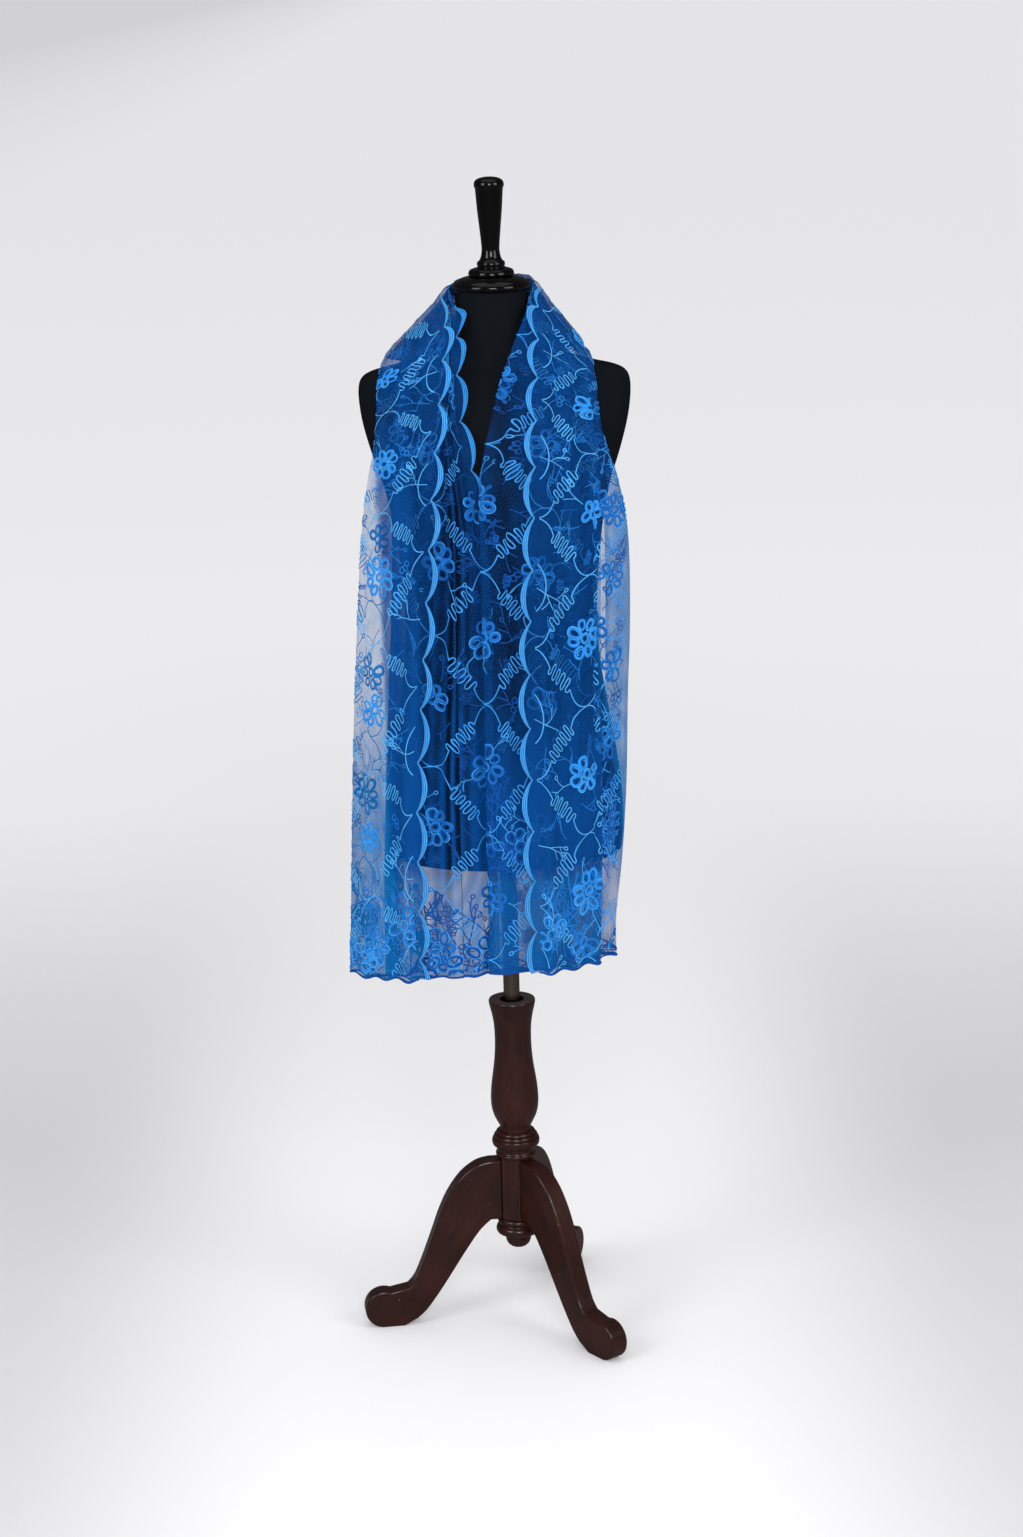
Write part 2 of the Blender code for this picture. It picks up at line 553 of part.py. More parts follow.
def centre_on_floor():
    """Move the part so that the origin is at the bottom middle of its box."""
    bpy.context.view_layer.update()
    graph = bpy.context.evaluated_depsgraph_get()
    corners = []
    for thing in bpy.data.objects:
        shape = thing.evaluated_get(graph)
        corners += [shape.matrix_world @ v.co for v in shape.data.vertices]
    low = Vector(min(c[i] for c in corners) for i in range(3))
    high = Vector(max(c[i] for c in corners) for i in range(3))
    middle = (low + high) / 2
    for thing in bpy.data.objects:
        thing.location -= Vector((middle.x, middle.y, low.z))
    print("axis at", [round(-c, 6) for c in (middle.x, middle.y, low.z)])
    print("box", [round(c, 4) for c in high - low])


clear_scene()
left, right = Stretch(LEFT_STRETCH), Stretch(RIGHT_STRETCH)
left_front, left_under = left.layer(LEFT_FRONT_FOLDS), left.layer(LEFT_UNDER_FOLDS)
right_front, right_middle = right.layer(RIGHT_FRONT_FOLDS), right.layer(RIGHT_MIDDLE_FOLDS)
wall("left_front", left_front, CLOTH_WALL, "net")
wall("left_under", left_under, CLOTH_WALL, "net")
wall("right_front", right_front, CLOTH_WALL, "net")
wall("right_middle", right_middle, CLOTH_WALL, "net")
border("left_front_border", left, left_front, 0, 1, BORDER_START, left.levels)
border("left_under_border", left, left_under, -1, 1, UNDER_BORDER_START, UNDER_BORDER_END)
border("right_front_border", right, right_front, 0, -1, BORDER_START, right.levels)
neck_band()
torso()
turned("neck_cap", CAP_PROFILE, "lacquer")
turned("finial", FINIAL_PROFILE, "lacquer")
turned("pole", ((TORSO_BASE - SEAT_GAP, POLE_RADIUS), (POLE_SEAT + SEAT_GAP, POLE_RADIUS)), "gunmetal")
turned("stand_post", POST_PROFILE, "mahogany",
       bore=((POST_PROFILE[0][0], POST_HOLE_RADIUS), (POLE_SEAT, POST_HOLE_RADIUS)))
turned("stand_rings", RINGS_PROFILE, "mahogany")
turned("stand_base", BASE_PROFILE, "mahogany")
turned("ball_end", BALL_PROFILE, "mahogany")
block()
for side, turn in (("left", 0), ("right", 120), ("back", 240)):
    leg("leg_" + side, LEG_AZIMUTH + turn)
centre_on_floor()
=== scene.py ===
import math
import random
from collections import namedtuple

import bmesh
import bpy
import numpy as np
from mathutils import Matrix, Vector


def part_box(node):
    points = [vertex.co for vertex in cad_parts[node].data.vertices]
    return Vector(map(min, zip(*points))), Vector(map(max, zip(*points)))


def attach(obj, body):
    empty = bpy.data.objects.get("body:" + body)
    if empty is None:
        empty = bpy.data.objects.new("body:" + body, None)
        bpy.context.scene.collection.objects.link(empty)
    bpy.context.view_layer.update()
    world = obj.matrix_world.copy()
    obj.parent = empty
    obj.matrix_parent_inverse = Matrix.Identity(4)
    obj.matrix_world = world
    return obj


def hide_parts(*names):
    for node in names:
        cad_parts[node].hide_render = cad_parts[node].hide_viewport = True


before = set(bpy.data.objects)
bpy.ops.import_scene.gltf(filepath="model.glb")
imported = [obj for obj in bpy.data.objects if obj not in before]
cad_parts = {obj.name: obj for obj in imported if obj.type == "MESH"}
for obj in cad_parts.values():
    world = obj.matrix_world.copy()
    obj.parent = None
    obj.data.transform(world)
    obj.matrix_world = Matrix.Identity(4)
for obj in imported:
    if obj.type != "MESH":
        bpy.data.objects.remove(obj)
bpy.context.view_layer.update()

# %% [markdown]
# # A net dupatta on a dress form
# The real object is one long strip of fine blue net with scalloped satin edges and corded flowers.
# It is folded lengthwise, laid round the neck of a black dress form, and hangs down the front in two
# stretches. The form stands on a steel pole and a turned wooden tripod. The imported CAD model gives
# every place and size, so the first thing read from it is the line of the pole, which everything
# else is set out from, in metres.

pole_low, pole_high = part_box("pole")
AXIS = Vector(((pole_low.x + pole_high.x) / 2, (pole_low.y + pole_high.y) / 2, 0.0))
print("pole's line at", [round(c, 4) for c in AXIS])

# %% [markdown]
# ## The camera
# The photograph was taken from chest height with a long lens, looking a little down, and the camera
# was not quite level. A lens of 74 mm on a 36 mm sensor gives the same view. The camera comes first.

# %% Place the camera
CAMERA_DISTANCE = 4.2
CAMERA_HEIGHT = 1.90
CAMERA_ASIDE = 0.0085
CAMERA_PITCH = 14.6
CAMERA_ROLL = 1.6
SENSOR = 36.0
LENS = 74.2


def link_object(name, data):
    """A new object of this data, linked into the scene."""
    made = bpy.data.objects.new(name, data)
    bpy.context.scene.collection.objects.link(made)
    return made


camera = link_object("camera", bpy.data.cameras.new("camera"))
camera.data.sensor_width = SENSOR
camera.data.lens = LENS
place = Matrix.Translation(Vector((CAMERA_ASIDE, -CAMERA_DISTANCE, CAMERA_HEIGHT)) + AXIS)
tilt = Matrix.Rotation(math.radians(90 - CAMERA_PITCH), 4, "X")
roll = Matrix.Rotation(math.radians(-CAMERA_ROLL), 4, "Z")
camera.matrix_world = place @ tilt @ roll
bpy.context.scene.camera = camera
print("camera looks down by", CAMERA_PITCH, "degrees")

# %% [markdown]
# ## Materials from nodes
# Every finish here is built from shader nodes, because a pattern worked out from a place in metres keeps its
# real size and needs no image. These few functions add a node with its inputs filled in order, work out a
# sum, move a value from one range to another, and mix two colours.

# %% Helpers for materials
def new_material(name, **sockets):
    """A material with the given values on its Principled shader; returns it, its nodes and the shader."""
    made = bpy.data.materials.new(name)
    made.use_nodes = True
    nodes = made.node_tree.nodes
    shader = nodes["Principled BSDF"]
    for socket, value in sockets.items():
        shader.inputs[socket.replace("_", " ")].default_value = value
    return made, nodes, shader


def add_node(nodes, kind, feeds=(), **settings):
    """A node of this kind, its properties set by name and its inputs filled in order from feeds."""
    made = nodes.new(kind)
    for name, value in settings.items():
        setattr(made, name, value)
    tree = made.id_data
    for socket, feed in zip(made.inputs, feeds):
        if isinstance(feed, bpy.types.NodeSocket):
            tree.links.new(feed, socket)
        elif feed is not None:
            socket.default_value = feed
    return made


def maths(nodes, operation, *feeds):
    """The result of one Math node."""
    return add_node(nodes, "ShaderNodeMath", feeds, operation=operation).outputs[0]


def ramp(nodes, value, *ends, soft=True):
    """The value moved from one range to another: two ends of the first, and two of the second."""
    kind = "SMOOTHSTEP" if soft else "LINEAR"
    return add_node(nodes, "ShaderNodeMapRange", (value, *ends), interpolation_type=kind).outputs[0]


def plug(source, socket):
    """Link a node's output to another node's input."""
    socket.id_data.links.new(source, socket)


def blend(nodes, share, first, second):
    """A mix of two colours, each given as a value or as a socket to link."""
    made = add_node(nodes, "ShaderNodeMix", data_type="RGBA")
    plug(share, made.inputs[0])
    for socket, colour in zip(made.inputs[6:8], (first, second)):
        if isinstance(colour, bpy.types.NodeSocket):
            plug(colour, socket)
        else:
            socket.default_value = colour
    return made.outputs[2]


def own_place(nodes):
    """Object coordinates, in metres."""
    return add_node(nodes, "ShaderNodeTexCoord").outputs["Object"]


print("a material has", len(new_material("try_out")[1]), "nodes to begin with")
bpy.data.materials.remove(bpy.data.materials["try_out"])

# %% [markdown]
# ## The floor
# The studio is a sheet of pale paper. One wide disc is enough, because the camera looks down and never sees
# its rim. The paper glows a little more with distance, is dimmed towards the sides as in the photograph, and
# is dark where polished parts mirror it.

# %% Lay the floor
FLOOR_RADIUS = 400.0
PAPER_COLOUR = (0.84, 0.835, 0.845, 1.0)
FLOOR_GLOW, FLOOR_GLOW_NEAR = 0.26, 0.09
FLOOR_GLOW_START, FLOOR_GLOW_FULL = 0.8, 5.5
FLOOR_SHINE = 0.15
SIDE_DIM, SIDE_BAND, NEAR_BAND = 0.27, (0.22, 0.75), (0.6, 3.0)
FAR_DIM, FAR_BAND = 0.18, (-10.0, -3.5)


def to_mesh(build, name):
    """Turn the finished bmesh into a mesh of this name."""
    mesh = bpy.data.meshes.new(name)
    build.to_mesh(mesh)
    build.free()
    return mesh


build = bmesh.new()
bmesh.ops.create_circle(build, cap_ends=True, radius=FLOOR_RADIUS, segments=96)
floor = link_object("floor", to_mesh(build, "floor"))
paper, nodes, shader = new_material("pale_paper", Base_Color=PAPER_COLOUR, Roughness=0.9,
                                    Specular_IOR_Level=0.1, Emission_Color=(0.99, 0.985, 1.0, 1.0))
where = own_place(nodes)
away = add_node(nodes, "ShaderNodeVectorMath", (where,), operation="LENGTH").outputs["Value"]
glow = ramp(nodes, away, FLOOR_GLOW_START, FLOOR_GLOW_FULL, FLOOR_GLOW_NEAR, FLOOR_GLOW)
mirrored = add_node(nodes, "ShaderNodeLightPath").outputs["Is Glossy Ray"]
spot = add_node(nodes, "ShaderNodeSeparateXYZ", (where,))
side_dim = ramp(nodes, maths(nodes, "ABSOLUTE", spot.outputs["X"]), *SIDE_BAND, 0.0, SIDE_DIM)
near_dim = maths(nodes, "MULTIPLY", side_dim, ramp(nodes, spot.outputs["Y"], *NEAR_BAND, 1.0, 0.0))
far_dim = ramp(nodes, spot.outputs["X"], *FAR_BAND, FAR_DIM, 0.0, soft=False)
dim = maths(nodes, "SUBTRACT", 1.0, maths(nodes, "ADD", near_dim, far_dim))
kept = maths(nodes, "MULTIPLY", ramp(nodes, mirrored, 0.0, 1.0, 1.0, FLOOR_SHINE, soft=False), dim)
plug(blend(nodes, kept, (0.0, 0.0, 0.0, 1.0), PAPER_COLOUR), shader.inputs["Base Color"])
plug(maths(nodes, "MULTIPLY", glow, kept), shader.inputs["Emission Strength"])
floor.data.materials.append(paper)
print("floor's radius:", FLOOR_RADIUS, "m")

# %% [markdown]
# ## Lamps and room
# Big area lamps give the long soft highlights on the lacquer and the varnish, and a pale world fills the
# shadows. Polished parts see a dark room instead, so that their highlights stand out. Colours are shown
# with the plain Standard transform, so that the blue keeps its strength, and clear surfaces may stack up
# many deep before a ray is lost.

# %% Hang the lamps
Lamp = namedtuple("Lamp", "name place aim width height power")
LAMPS = (
    Lamp("lamp_front", (0.3, -3.9, 2.5), (0.0, 0.0, 1.0), 1.3, 1.3, 50.0),
    Lamp("lamp_left", (-2.6, -2.4, 2.5), (0.0, 0.0, 0.9), 1.5, 1.9, 40.0),
    Lamp("lamp_right", (2.6, -2.0, 2.4), (0.0, 0.0, 0.9), 1.5, 1.9, 32.0),
    Lamp("lamp_top", (0.0, -0.2, 3.8), (0.0, 0.0, 0.0), 2.6, 2.6, 13.0),
)
WORLD_STRENGTH, WORLD_SHINE = 0.66, 0.05
WORLD_COLOUR = (0.985, 0.985, 1.0, 1.0)
CLEAR_BOUNCES = 40

for lamp in LAMPS:
    light = bpy.data.lights.new(lamp.name, "AREA")
    light.shape = "RECTANGLE"
    light.size = lamp.width
    light.size_y = lamp.height
    light.energy = lamp.power
    holder = link_object(lamp.name, light)
    holder.location = lamp.place
    holder.rotation_euler = (Vector(lamp.aim) - Vector(lamp.place)).to_track_quat("-Z", "Y").to_euler()

world = bpy.data.worlds.new("studio")
bpy.context.scene.world = world
world.use_nodes = True
nodes = world.node_tree.nodes
nodes["Background"].inputs["Color"].default_value = WORLD_COLOUR
mirrored = add_node(nodes, "ShaderNodeLightPath").outputs["Is Glossy Ray"]
power = ramp(nodes, mirrored, 0.0, 1.0, WORLD_STRENGTH, WORLD_SHINE, soft=False)
plug(power, nodes["Background"].inputs["Strength"])
bpy.context.scene.view_settings.view_transform = "Standard"
bpy.context.scene.cycles.transparent_max_bounces = CLEAR_BOUNCES
print("lamps:", [lamp.name for lamp in LAMPS])

# %% [markdown]
# ## How the cloth hangs
# A cloth simulation would fold the net its own way. Here the photograph says where each fold lies, so the
# drape is written down instead, as a dressmaker would chalk it. Each stretch has twelve levels from the
# crest of the shoulder down to the hem. At each level four lines run down the cloth: the inner edge, the
# scalloped edge, a fold and the outer edge. A smooth curve joins the levels, and the same numbers shaped
# the CAD solids, so the shells lie on them.

# %% The levels of the two stretches
Level = namedtuple("Level", "name z_inner z_outer inner edge fold outer y_inner y_outer bow step tuck flute")


def table(kind, *rows):
    """The rows of a table, each as a named tuple of this kind."""
    return tuple(kind(*row) for row in rows)


LEFT_LEVELS = table(
    Level,
    ("crest", 1.462, 1.376, -0.059, -0.066, -0.122, -0.146, 0.000, 0.000, 0.000, 0.0026, 0.0, 0.0),
    ("collar", 1.440, 1.366, -0.051, -0.064, -0.127, -0.151, -0.034, -0.031, -0.006, 0.0031, 0.0, 0.0),
    ("yoke", 1.402, 1.348, -0.051, -0.067, -0.133, -0.155, -0.066, -0.054, -0.011, 0.0035, 0.0, 0.0),
    ("shoulder", 1.352, 1.312, -0.0495, -0.073, -0.140, -0.158, -0.100, -0.070, -0.017, 0.0040, 0.1, 0.0008),
    ("chest", 1.300, 1.270, -0.0440, -0.079, -0.143, -0.162, -0.130, -0.077, -0.022, 0.0043, 0.4, 0.0018),
    ("bust", 1.235, 1.220, -0.030, -0.086, -0.147, -0.173, -0.150, -0.078, -0.024, 0.0044, 0.9, 0.0028),
    ("ribs", 1.150, 1.145, -0.013, -0.093, -0.150, -0.184, -0.153, -0.070, -0.026, 0.0045, 1.0, 0.0038),
    ("waist", 1.030, 1.030, -0.010, -0.103, -0.157, -0.194, -0.151, -0.058, -0.028, 0.0045, 1.0, 0.0050),
    ("flank", 0.920, 0.920, -0.011, -0.112, -0.165, -0.202, -0.149, -0.052, -0.030, 0.0045, 1.0, 0.0060),
    ("hip", 0.800, 0.800, -0.012, -0.121, -0.173, -0.209, -0.147, -0.050, -0.030, 0.0045, 1.0, 0.0068),
    ("seat", 0.680, 0.676, -0.012, -0.1235, -0.178, -0.215, -0.143, -0.050, -0.028, 0.0045, 1.0, 0.0076),
    ("hem", 0.553, 0.538, -0.012, -0.1246, -0.181, -0.2215, -0.139, -0.050, -0.026, 0.0045, 1.0, 0.0084),
)
RIGHT_LEVELS = table(
    Level,
    ("crest", 1.463, 1.374, 0.059, 0.065, 0.118, 0.133, 0.000, 0.000, 0.000, 0.0024, 0.0, 0.0),
    ("collar", 1.440, 1.368, 0.0475, 0.0615, 0.121, 0.1355, -0.038, -0.037, -0.006, 0.0027, 0.0, 0.0),
    ("yoke", 1.403, 1.352, 0.0275, 0.061, 0.123, 0.1375, -0.069, -0.064, -0.011, 0.0034, 0.0, 0.0),
    ("shoulder", 1.355, 1.317, 0.006, 0.058, 0.126, 0.1405, -0.100, -0.084, -0.016, 0.0040, 0.0, 0.0008),
    ("chest", 1.300, 1.275, -0.010, 0.054, 0.131, 0.147, -0.129, -0.094, -0.019, 0.0043, 0.0, 0.0018),
    ("bust", 1.235, 1.222, -0.0235, 0.051, 0.135, 0.163, -0.150, -0.094, -0.021, 0.0044, 0.0, 0.0028),
    ("ribs", 1.150, 1.145, -0.0265, 0.0475, 0.1345, 0.1765, -0.153, -0.084, -0.025, 0.0045, 0.0, 0.0038),
    ("waist", 1.030, 1.030, -0.0265, 0.0405, 0.1325, 0.178, -0.151, -0.072, -0.027, 0.0045, 0.0, 0.0050),
    ("flank", 0.920, 0.920, -0.027, 0.0365, 0.1315, 0.173, -0.149, -0.068, -0.027, 0.0045, 0.0, 0.0060),
    ("hip", 0.800, 0.800, -0.028, 0.0375, 0.130, 0.168, -0.147, -0.068, -0.025, 0.0045, 0.0, 0.0068),
    ("seat", 0.680, 0.680, -0.029, 0.0375, 0.1275, 0.158, -0.143, -0.070, -0.023, 0.0045, 0.0, 0.0076),
    ("hem", 0.553, 0.557, -0.030, 0.0385, 0.1245, 0.1435, -0.139, -0.072, -0.019, 0.0045, 0.0, 0.0084),
)
FLUTE_PITCH = 0.31
FLUTE_DROP = 0.35
LEVEL_NUDGE = 0.1
X_NUDGE = 0.002
CREST_LEVELS = 0.3
print("levels:", [level.name for level in LEFT_LEVELS])

# %% [markdown]
# ## How the layers are folded
# Folded lengthwise, the net lies in four to six layers. Each row below is one station on the way across a
# layer: a share of the way between two of the lines, how many layer steps it lies below the top, and how
# many more where the cloth is tucked in. The first station of a front layer is its scalloped edge. The
# creases are the ones that show in the photograph, each a soft ridge or trough of its own length.

# %% The folds and the creases
Fold = namedtuple("Fold", "start end share depth tuck_depth", defaults=(0.0,))


def folds(*runs):
    """The folds of a layer, from runs of shares and depths between the same two lines."""
    return tuple(Fold(start, end, *row) for start, end, *rows in runs for row in rows)


LEFT_FRONT_FOLDS = folds(
    ("edge", "outer", (0.0, 0.0), (0.155, 0.0), (0.31, 0.10), (0.465, -0.10), (0.62, 0.05), (0.775, 0.0),
     (0.89, 0.05), (0.965, 0.25), (1.0, 1.05), (0.965, 1.85), (0.89, 1.75), (0.775, 1.35), (0.62, 1.15),
     (0.465, 1.05)),
)
LEFT_UNDER_FOLDS = folds(
    ("edge", "outer", (0.31, 3.30, 0.3), (0.465, 3.50, 0.3)),
    ("edge", "fold", (0.88, 3.50, 0.3), (1.0, 2.90, 0.2), (0.88, 2.35, 0.1)),
    ("edge", "outer", (0.465, 2.20, 0.1), (0.31, 2.20, 0.1), (0.155, 2.25, 0.1)),
    ("inner", "edge", (0.98, 2.00, 0.3), (0.89, 1.60, 0.2), (0.81, 2.50, 0.5), (0.73, 2.60, 0.6),
     (0.65, 1.60, 0.2), (0.57, 1.55, 0.2), (0.49, 2.50, 0.6), (0.42, 2.40, 0.6), (0.34, 1.75, 0.4),
     (0.26, 1.90, 1.3), (0.18, 2.10, 2.7), (0.09, 2.20, 2.9), (0.0, 2.20, 2.8)),
)
RIGHT_FRONT_FOLDS = folds(
    ("edge", "outer", (0.0, 0.0), (0.155, 0.0), (0.31, 0.10), (0.465, -0.10), (0.62, 0.05)),
    ("edge", "fold", (0.88, 0.05), (0.96, 0.05), (1.0, 0.60), (0.96, 1.15), (0.88, 1.15)),
    ("edge", "outer", (0.62, 1.10), (0.465, 1.05), (0.31, 1.15)),
)
RIGHT_MIDDLE_FOLDS = folds(
    ("edge", "outer", (0.775, 3.60), (0.89, 3.50), (0.97, 3.45), (1.0, 2.75), (0.97, 2.05), (0.89, 1.95),
     (0.775, 2.20), (0.62, 2.35), (0.465, 2.35), (0.31, 2.40), (0.155, 2.45)),
    ("inner", "edge", (0.75, 2.05), (0.52, 2.45), (0.30, 1.95), (0.09, 2.45), (0.0, 3.00), (0.09, 3.55),
     (0.42, 3.60), (0.75, 3.40)),
    ("edge", "outer", (0.155, 3.60), (0.31, 3.60), (0.465, 3.60)),
)
INNER_FOLD_NUMBER = 15
Crease = namedtuple("Crease", "x_top level_top x_low level_low height width")
LEFT_CREASES = table(
    Crease,
    (-0.088, 0.6, -0.104, 4.6, 0.0026, 0.007),
    (-0.104, 0.5, -0.128, 6.2, -0.0024, 0.008),
    (-0.122, 0.8, -0.150, 8.6, 0.0026, 0.009),
    (-0.100, 4.8, -0.118, 10.4, -0.0022, 0.009),
    (-0.150, 6.2, -0.188, 11.0, 0.0034, 0.008),
    (-0.142, 7.0, -0.166, 11.0, -0.0022, 0.007),
    (-0.060, 5.4, -0.066, 11.0, 0.0020, 0.006),
    (-0.078, 2.0, -0.090, 5.2, 0.0016, 0.005),
)
RIGHT_CREASES = table(
    Crease,
    (0.080, 0.5, 0.078, 5.4, -0.0024, 0.008),
    (0.100, 0.4, 0.104, 6.6, 0.0026, 0.009),
    (0.112, 0.8, 0.122, 7.5, -0.0018, 0.006),
    (0.062, 5.2, 0.056, 11.0, 0.0022, 0.009),
    (0.092, 6.0, 0.088, 11.0, -0.0022, 0.008),
    (0.012, 3.2, 0.006, 10.6, 0.0022, 0.008),
    (0.026, 4.4, 0.020, 11.0, -0.0020, 0.007),
    (0.150, 5.2, 0.146, 11.0, 0.0022, 0.007),
)
CREASE_FADE = 0.9
BORDER_COLUMNS = 3
print("creases placed by hand:", len(LEFT_CREASES) + len(RIGHT_CREASES))

# %% [markdown]
# ## From the numbers to a surface
# The curve through the levels is a Hermite spline, worked out for whole arrays at once, because the
# embroidery will ask for some hundred thousand points. The soft step and the running length are used
# all through the drape as well.

# %% Splines and soft steps
def spline(values, places):
    """A smooth curve through evenly numbered values, read at places (0 is the first value)."""
    values = np.asarray(values, float)
    places = np.asarray(places, float)
    last = len(values) - 1
    i = np.clip(np.floor(places).astype(int), 0, last - 1)
    t = (places - i).reshape(places.shape + (1,) * (values.ndim - 1))
    a, b = values[i], values[i + 1]
    slope_a = (b - values[np.maximum(i - 1, 0)]) / 2
    slope_b = (values[np.minimum(i + 2, last)] - a) / 2
    return (a * (2 * t ** 3 - 3 * t ** 2 + 1) + slope_a * (t ** 3 - 2 * t ** 2 + t)
            + b * (3 * t ** 2 - 2 * t ** 3) + slope_b * (t ** 3 - t ** 2))


def smooth_step(low, high, value):
    """0 below low, 1 above high, and a soft rise between them."""
    t = np.clip((value - low) / (high - low), 0.0, 1.0)
    return t * t * (3 - 2 * t)


def run_of(points):
    """How far along a line of points each one is."""
    steps = np.linalg.norm(np.diff(points, axis=0), axis=1)
    return np.concatenate([[0.0], np.cumsum(steps)])


def unit(vectors):
    return vectors / np.maximum(np.linalg.norm(vectors, axis=-1, keepdims=True), 1e-9)


print("a soft step, a quarter of the way up:", smooth_step(0.0, 1.0, 0.25))

# %% [markdown]
# ## The surface of a stretch
# The top surface comes first: depth and height between the inner and the outer line, with flutes that grow
# towards the hem and the creases on top. A layer is then set back from it, square to it, by its number of
# steps.

# %% The surface of a stretch
class Stretch:
    """One hanging stretch: its lines, its creases and the surface that its top layer lies on."""

    def __init__(self, levels, creases):
        self.columns = {name: [getattr(row, name) for row in levels] for name in Level._fields[1:]}
        self.creases = creases
        self.last = len(levels) - 1

    def value(self, name, level):
        return spline(self.columns[name], level)

    def surface(self, x, level):
        """The points of the top surface on these levels at these x."""
        inner, edge, outer = (self.value(name, level) for name in ("inner", "edge", "outer"))
        share = (x - inner) / (outer - inner)
        bow = self.value("bow", level) * 4 * share * (1 - share)
        y = self.value("y_inner", level) * (1 - share) + self.value("y_outer", level) * share + bow
        z = self.value("z_inner", level) * (1 - share) + self.value("z_outer", level) * share
        across = np.maximum((x - edge) / (outer - edge), 0.0)
        flute = self.value("flute", level) * (1 - np.cos(2 * np.pi * across / FLUTE_PITCH)) / 2
        return np.stack([x, y - flute - self.crease(x, level), z - flute * FLUTE_DROP], -1)

    def crease(self, x, level):
        """How far the creases stand out at this place."""
        height = 0.0
        for crease in self.creases:
            t = (level - crease.level_top) / (crease.level_low - crease.level_top)
            middle = crease.x_top + (crease.x_low - crease.x_top) * t
            left_over = crease.level_low - level + (crease.level_low == self.last)
            fade = smooth_step(0.0, CREASE_FADE, level - crease.level_top)
            fade = fade * smooth_step(0.0, CREASE_FADE, left_over)
            height = height + crease.height * fade * np.exp(-((x - middle) / crease.width) ** 2)
        return height

    def outward(self, x, level):
        """The direction away from the form, square to the top surface."""
        above, below = np.maximum(level - LEVEL_NUDGE, 0.0), np.minimum(level + LEVEL_NUDGE, self.last)
        along = self.surface(x, below) - self.surface(x, above)
        across = self.surface(x + X_NUDGE, level) - self.surface(x - X_NUDGE, level)
        normal = unit(np.cross(along, across))
        normal[..., 1] *= smooth_step(0.0, CREST_LEVELS, level)
        normal = unit(normal)
        facing = np.where(level < LEVEL_NUDGE, normal[..., 2], -normal[..., 1])
        return normal * np.where(facing < 0, -1.0, 1.0)[..., None]

    def layer(self, folds, levels, per_span, before=0.0, after=0.0):
        """A layer's grid of points, a row for each level, with smooth curves between its folds.

        Before and after are the room for scallops beyond its first and its last fold.
        """
        level = np.asarray(levels)[:, None]
        shares = np.array([fold.share for fold in folds])
        start = np.stack([self.value(fold.start, levels) for fold in folds], 1)
        end = np.stack([self.value(fold.end, levels) for fold in folds], 1)
        x = start * (1 - shares) + end * shares
        depth = np.array([[fold.depth, fold.tuck_depth] for fold in folds])
        steps = depth[:, 0] + depth[:, 1] * self.value("tuck", levels)[:, None]
        places = np.arange((len(folds) - 1) * per_span + 1) / per_span
        x, steps = spline(x.T, places).T, spline(steps.T, places).T
        for room, order in ((before, 1), (after, -1)):
            if room:
                x, steps = x[:, ::order], steps[:, ::order]
                way = np.sign(x[:, :1] - x[:, 1:2])
                further = np.linspace(room, 0.0, BORDER_COLUMNS, endpoint=False)
                x = np.concatenate([x[:, :1] + way * further, x], 1)[:, ::order]
                steps = np.concatenate([np.repeat(steps[:, :1], BORDER_COLUMNS, 1), steps], 1)[:, ::order]
        level = np.broadcast_to(level, x.shape)
        back = (steps * self.value("step", levels)[:, None])[..., None]
        return self.surface(x, level) - self.outward(x, level) * back


left, right = Stretch(LEFT_LEVELS, LEFT_CREASES), Stretch(RIGHT_LEVELS, RIGHT_CREASES)
print("the left stretch's hem is at", left.surface(np.array([-0.12]), np.array([11.0])).round(3))

# %% [markdown]
# ## Patches and sheets
# A patch is a grid of points on one stretch of cloth. It knows how far along the cloth each row is (v) and
# how far across each column is (u), so whatever is sewn on the net can be drawn flat in those two
# distances, as it is on the real net, and then carried onto the drape. The net is two sheets deep: the
# front sheet with the scalloped edge on top, and the under sheet below it. Each sheet runs from the left
# hem up to the shoulder, round the neck and down to the right hem.

# %% Patches
ROW_STEP = 0.0055
FINE_LEVELS = 600
COLUMNS_PER_FOLD = 5
BORDER_ROOM = 0.020


class Patch:
    """A grid of points on one stretch of cloth; first and last are the columns at its two edges."""

    def __init__(self, points, v, first=0, last=-1, across=None):
        runs = np.stack([run_of(row) for row in points])
        runs = runs - runs[:, first:first + 1]
        self.points = points
        self.v = v
        self.first, self.last = first, last % points.shape[1]
        self.width = runs[:, last]
        self.across = (runs / self.width[:, None]).mean(0) if across is None else across
        self.normals = unit(np.cross(np.gradient(points, axis=0), np.gradient(points, axis=1)))

    def width_at(self, v):
        return np.interp(v, self.v, self.width)

    def place(self, u, v, height=0.0):
        """Points on the cloth at these distances across and along it, lifted off it by height."""
        width = self.width_at(v)
        share = np.where(u < 0, -u / BORDER_ROOM * self.across[0], u / width)
        share = np.where(u > width, 1 + (u - width) / BORDER_ROOM * (self.across[-1] - 1), share)
        row = np.interp(v, self.v, np.arange(len(self.v)))
        column = np.interp(share, self.across, np.arange(len(self.across)))
        i = np.minimum(row.astype(int), len(self.v) - 2)
        j = np.minimum(column.astype(int), len(self.across) - 2)
        s, t = (row - i)[:, None], (column - j)[:, None]
        found = []
        for grid in (self.points, self.normals):
            near = grid[i, j] * (1 - t) + grid[i, j + 1] * t
            far = grid[i + 1, j] * (1 - t) + grid[i + 1, j + 1] * t
            found.append(near * (1 - s) + far * s)
        return found[0] + unit(found[1]) * np.broadcast_to(height, u.shape)[:, None]


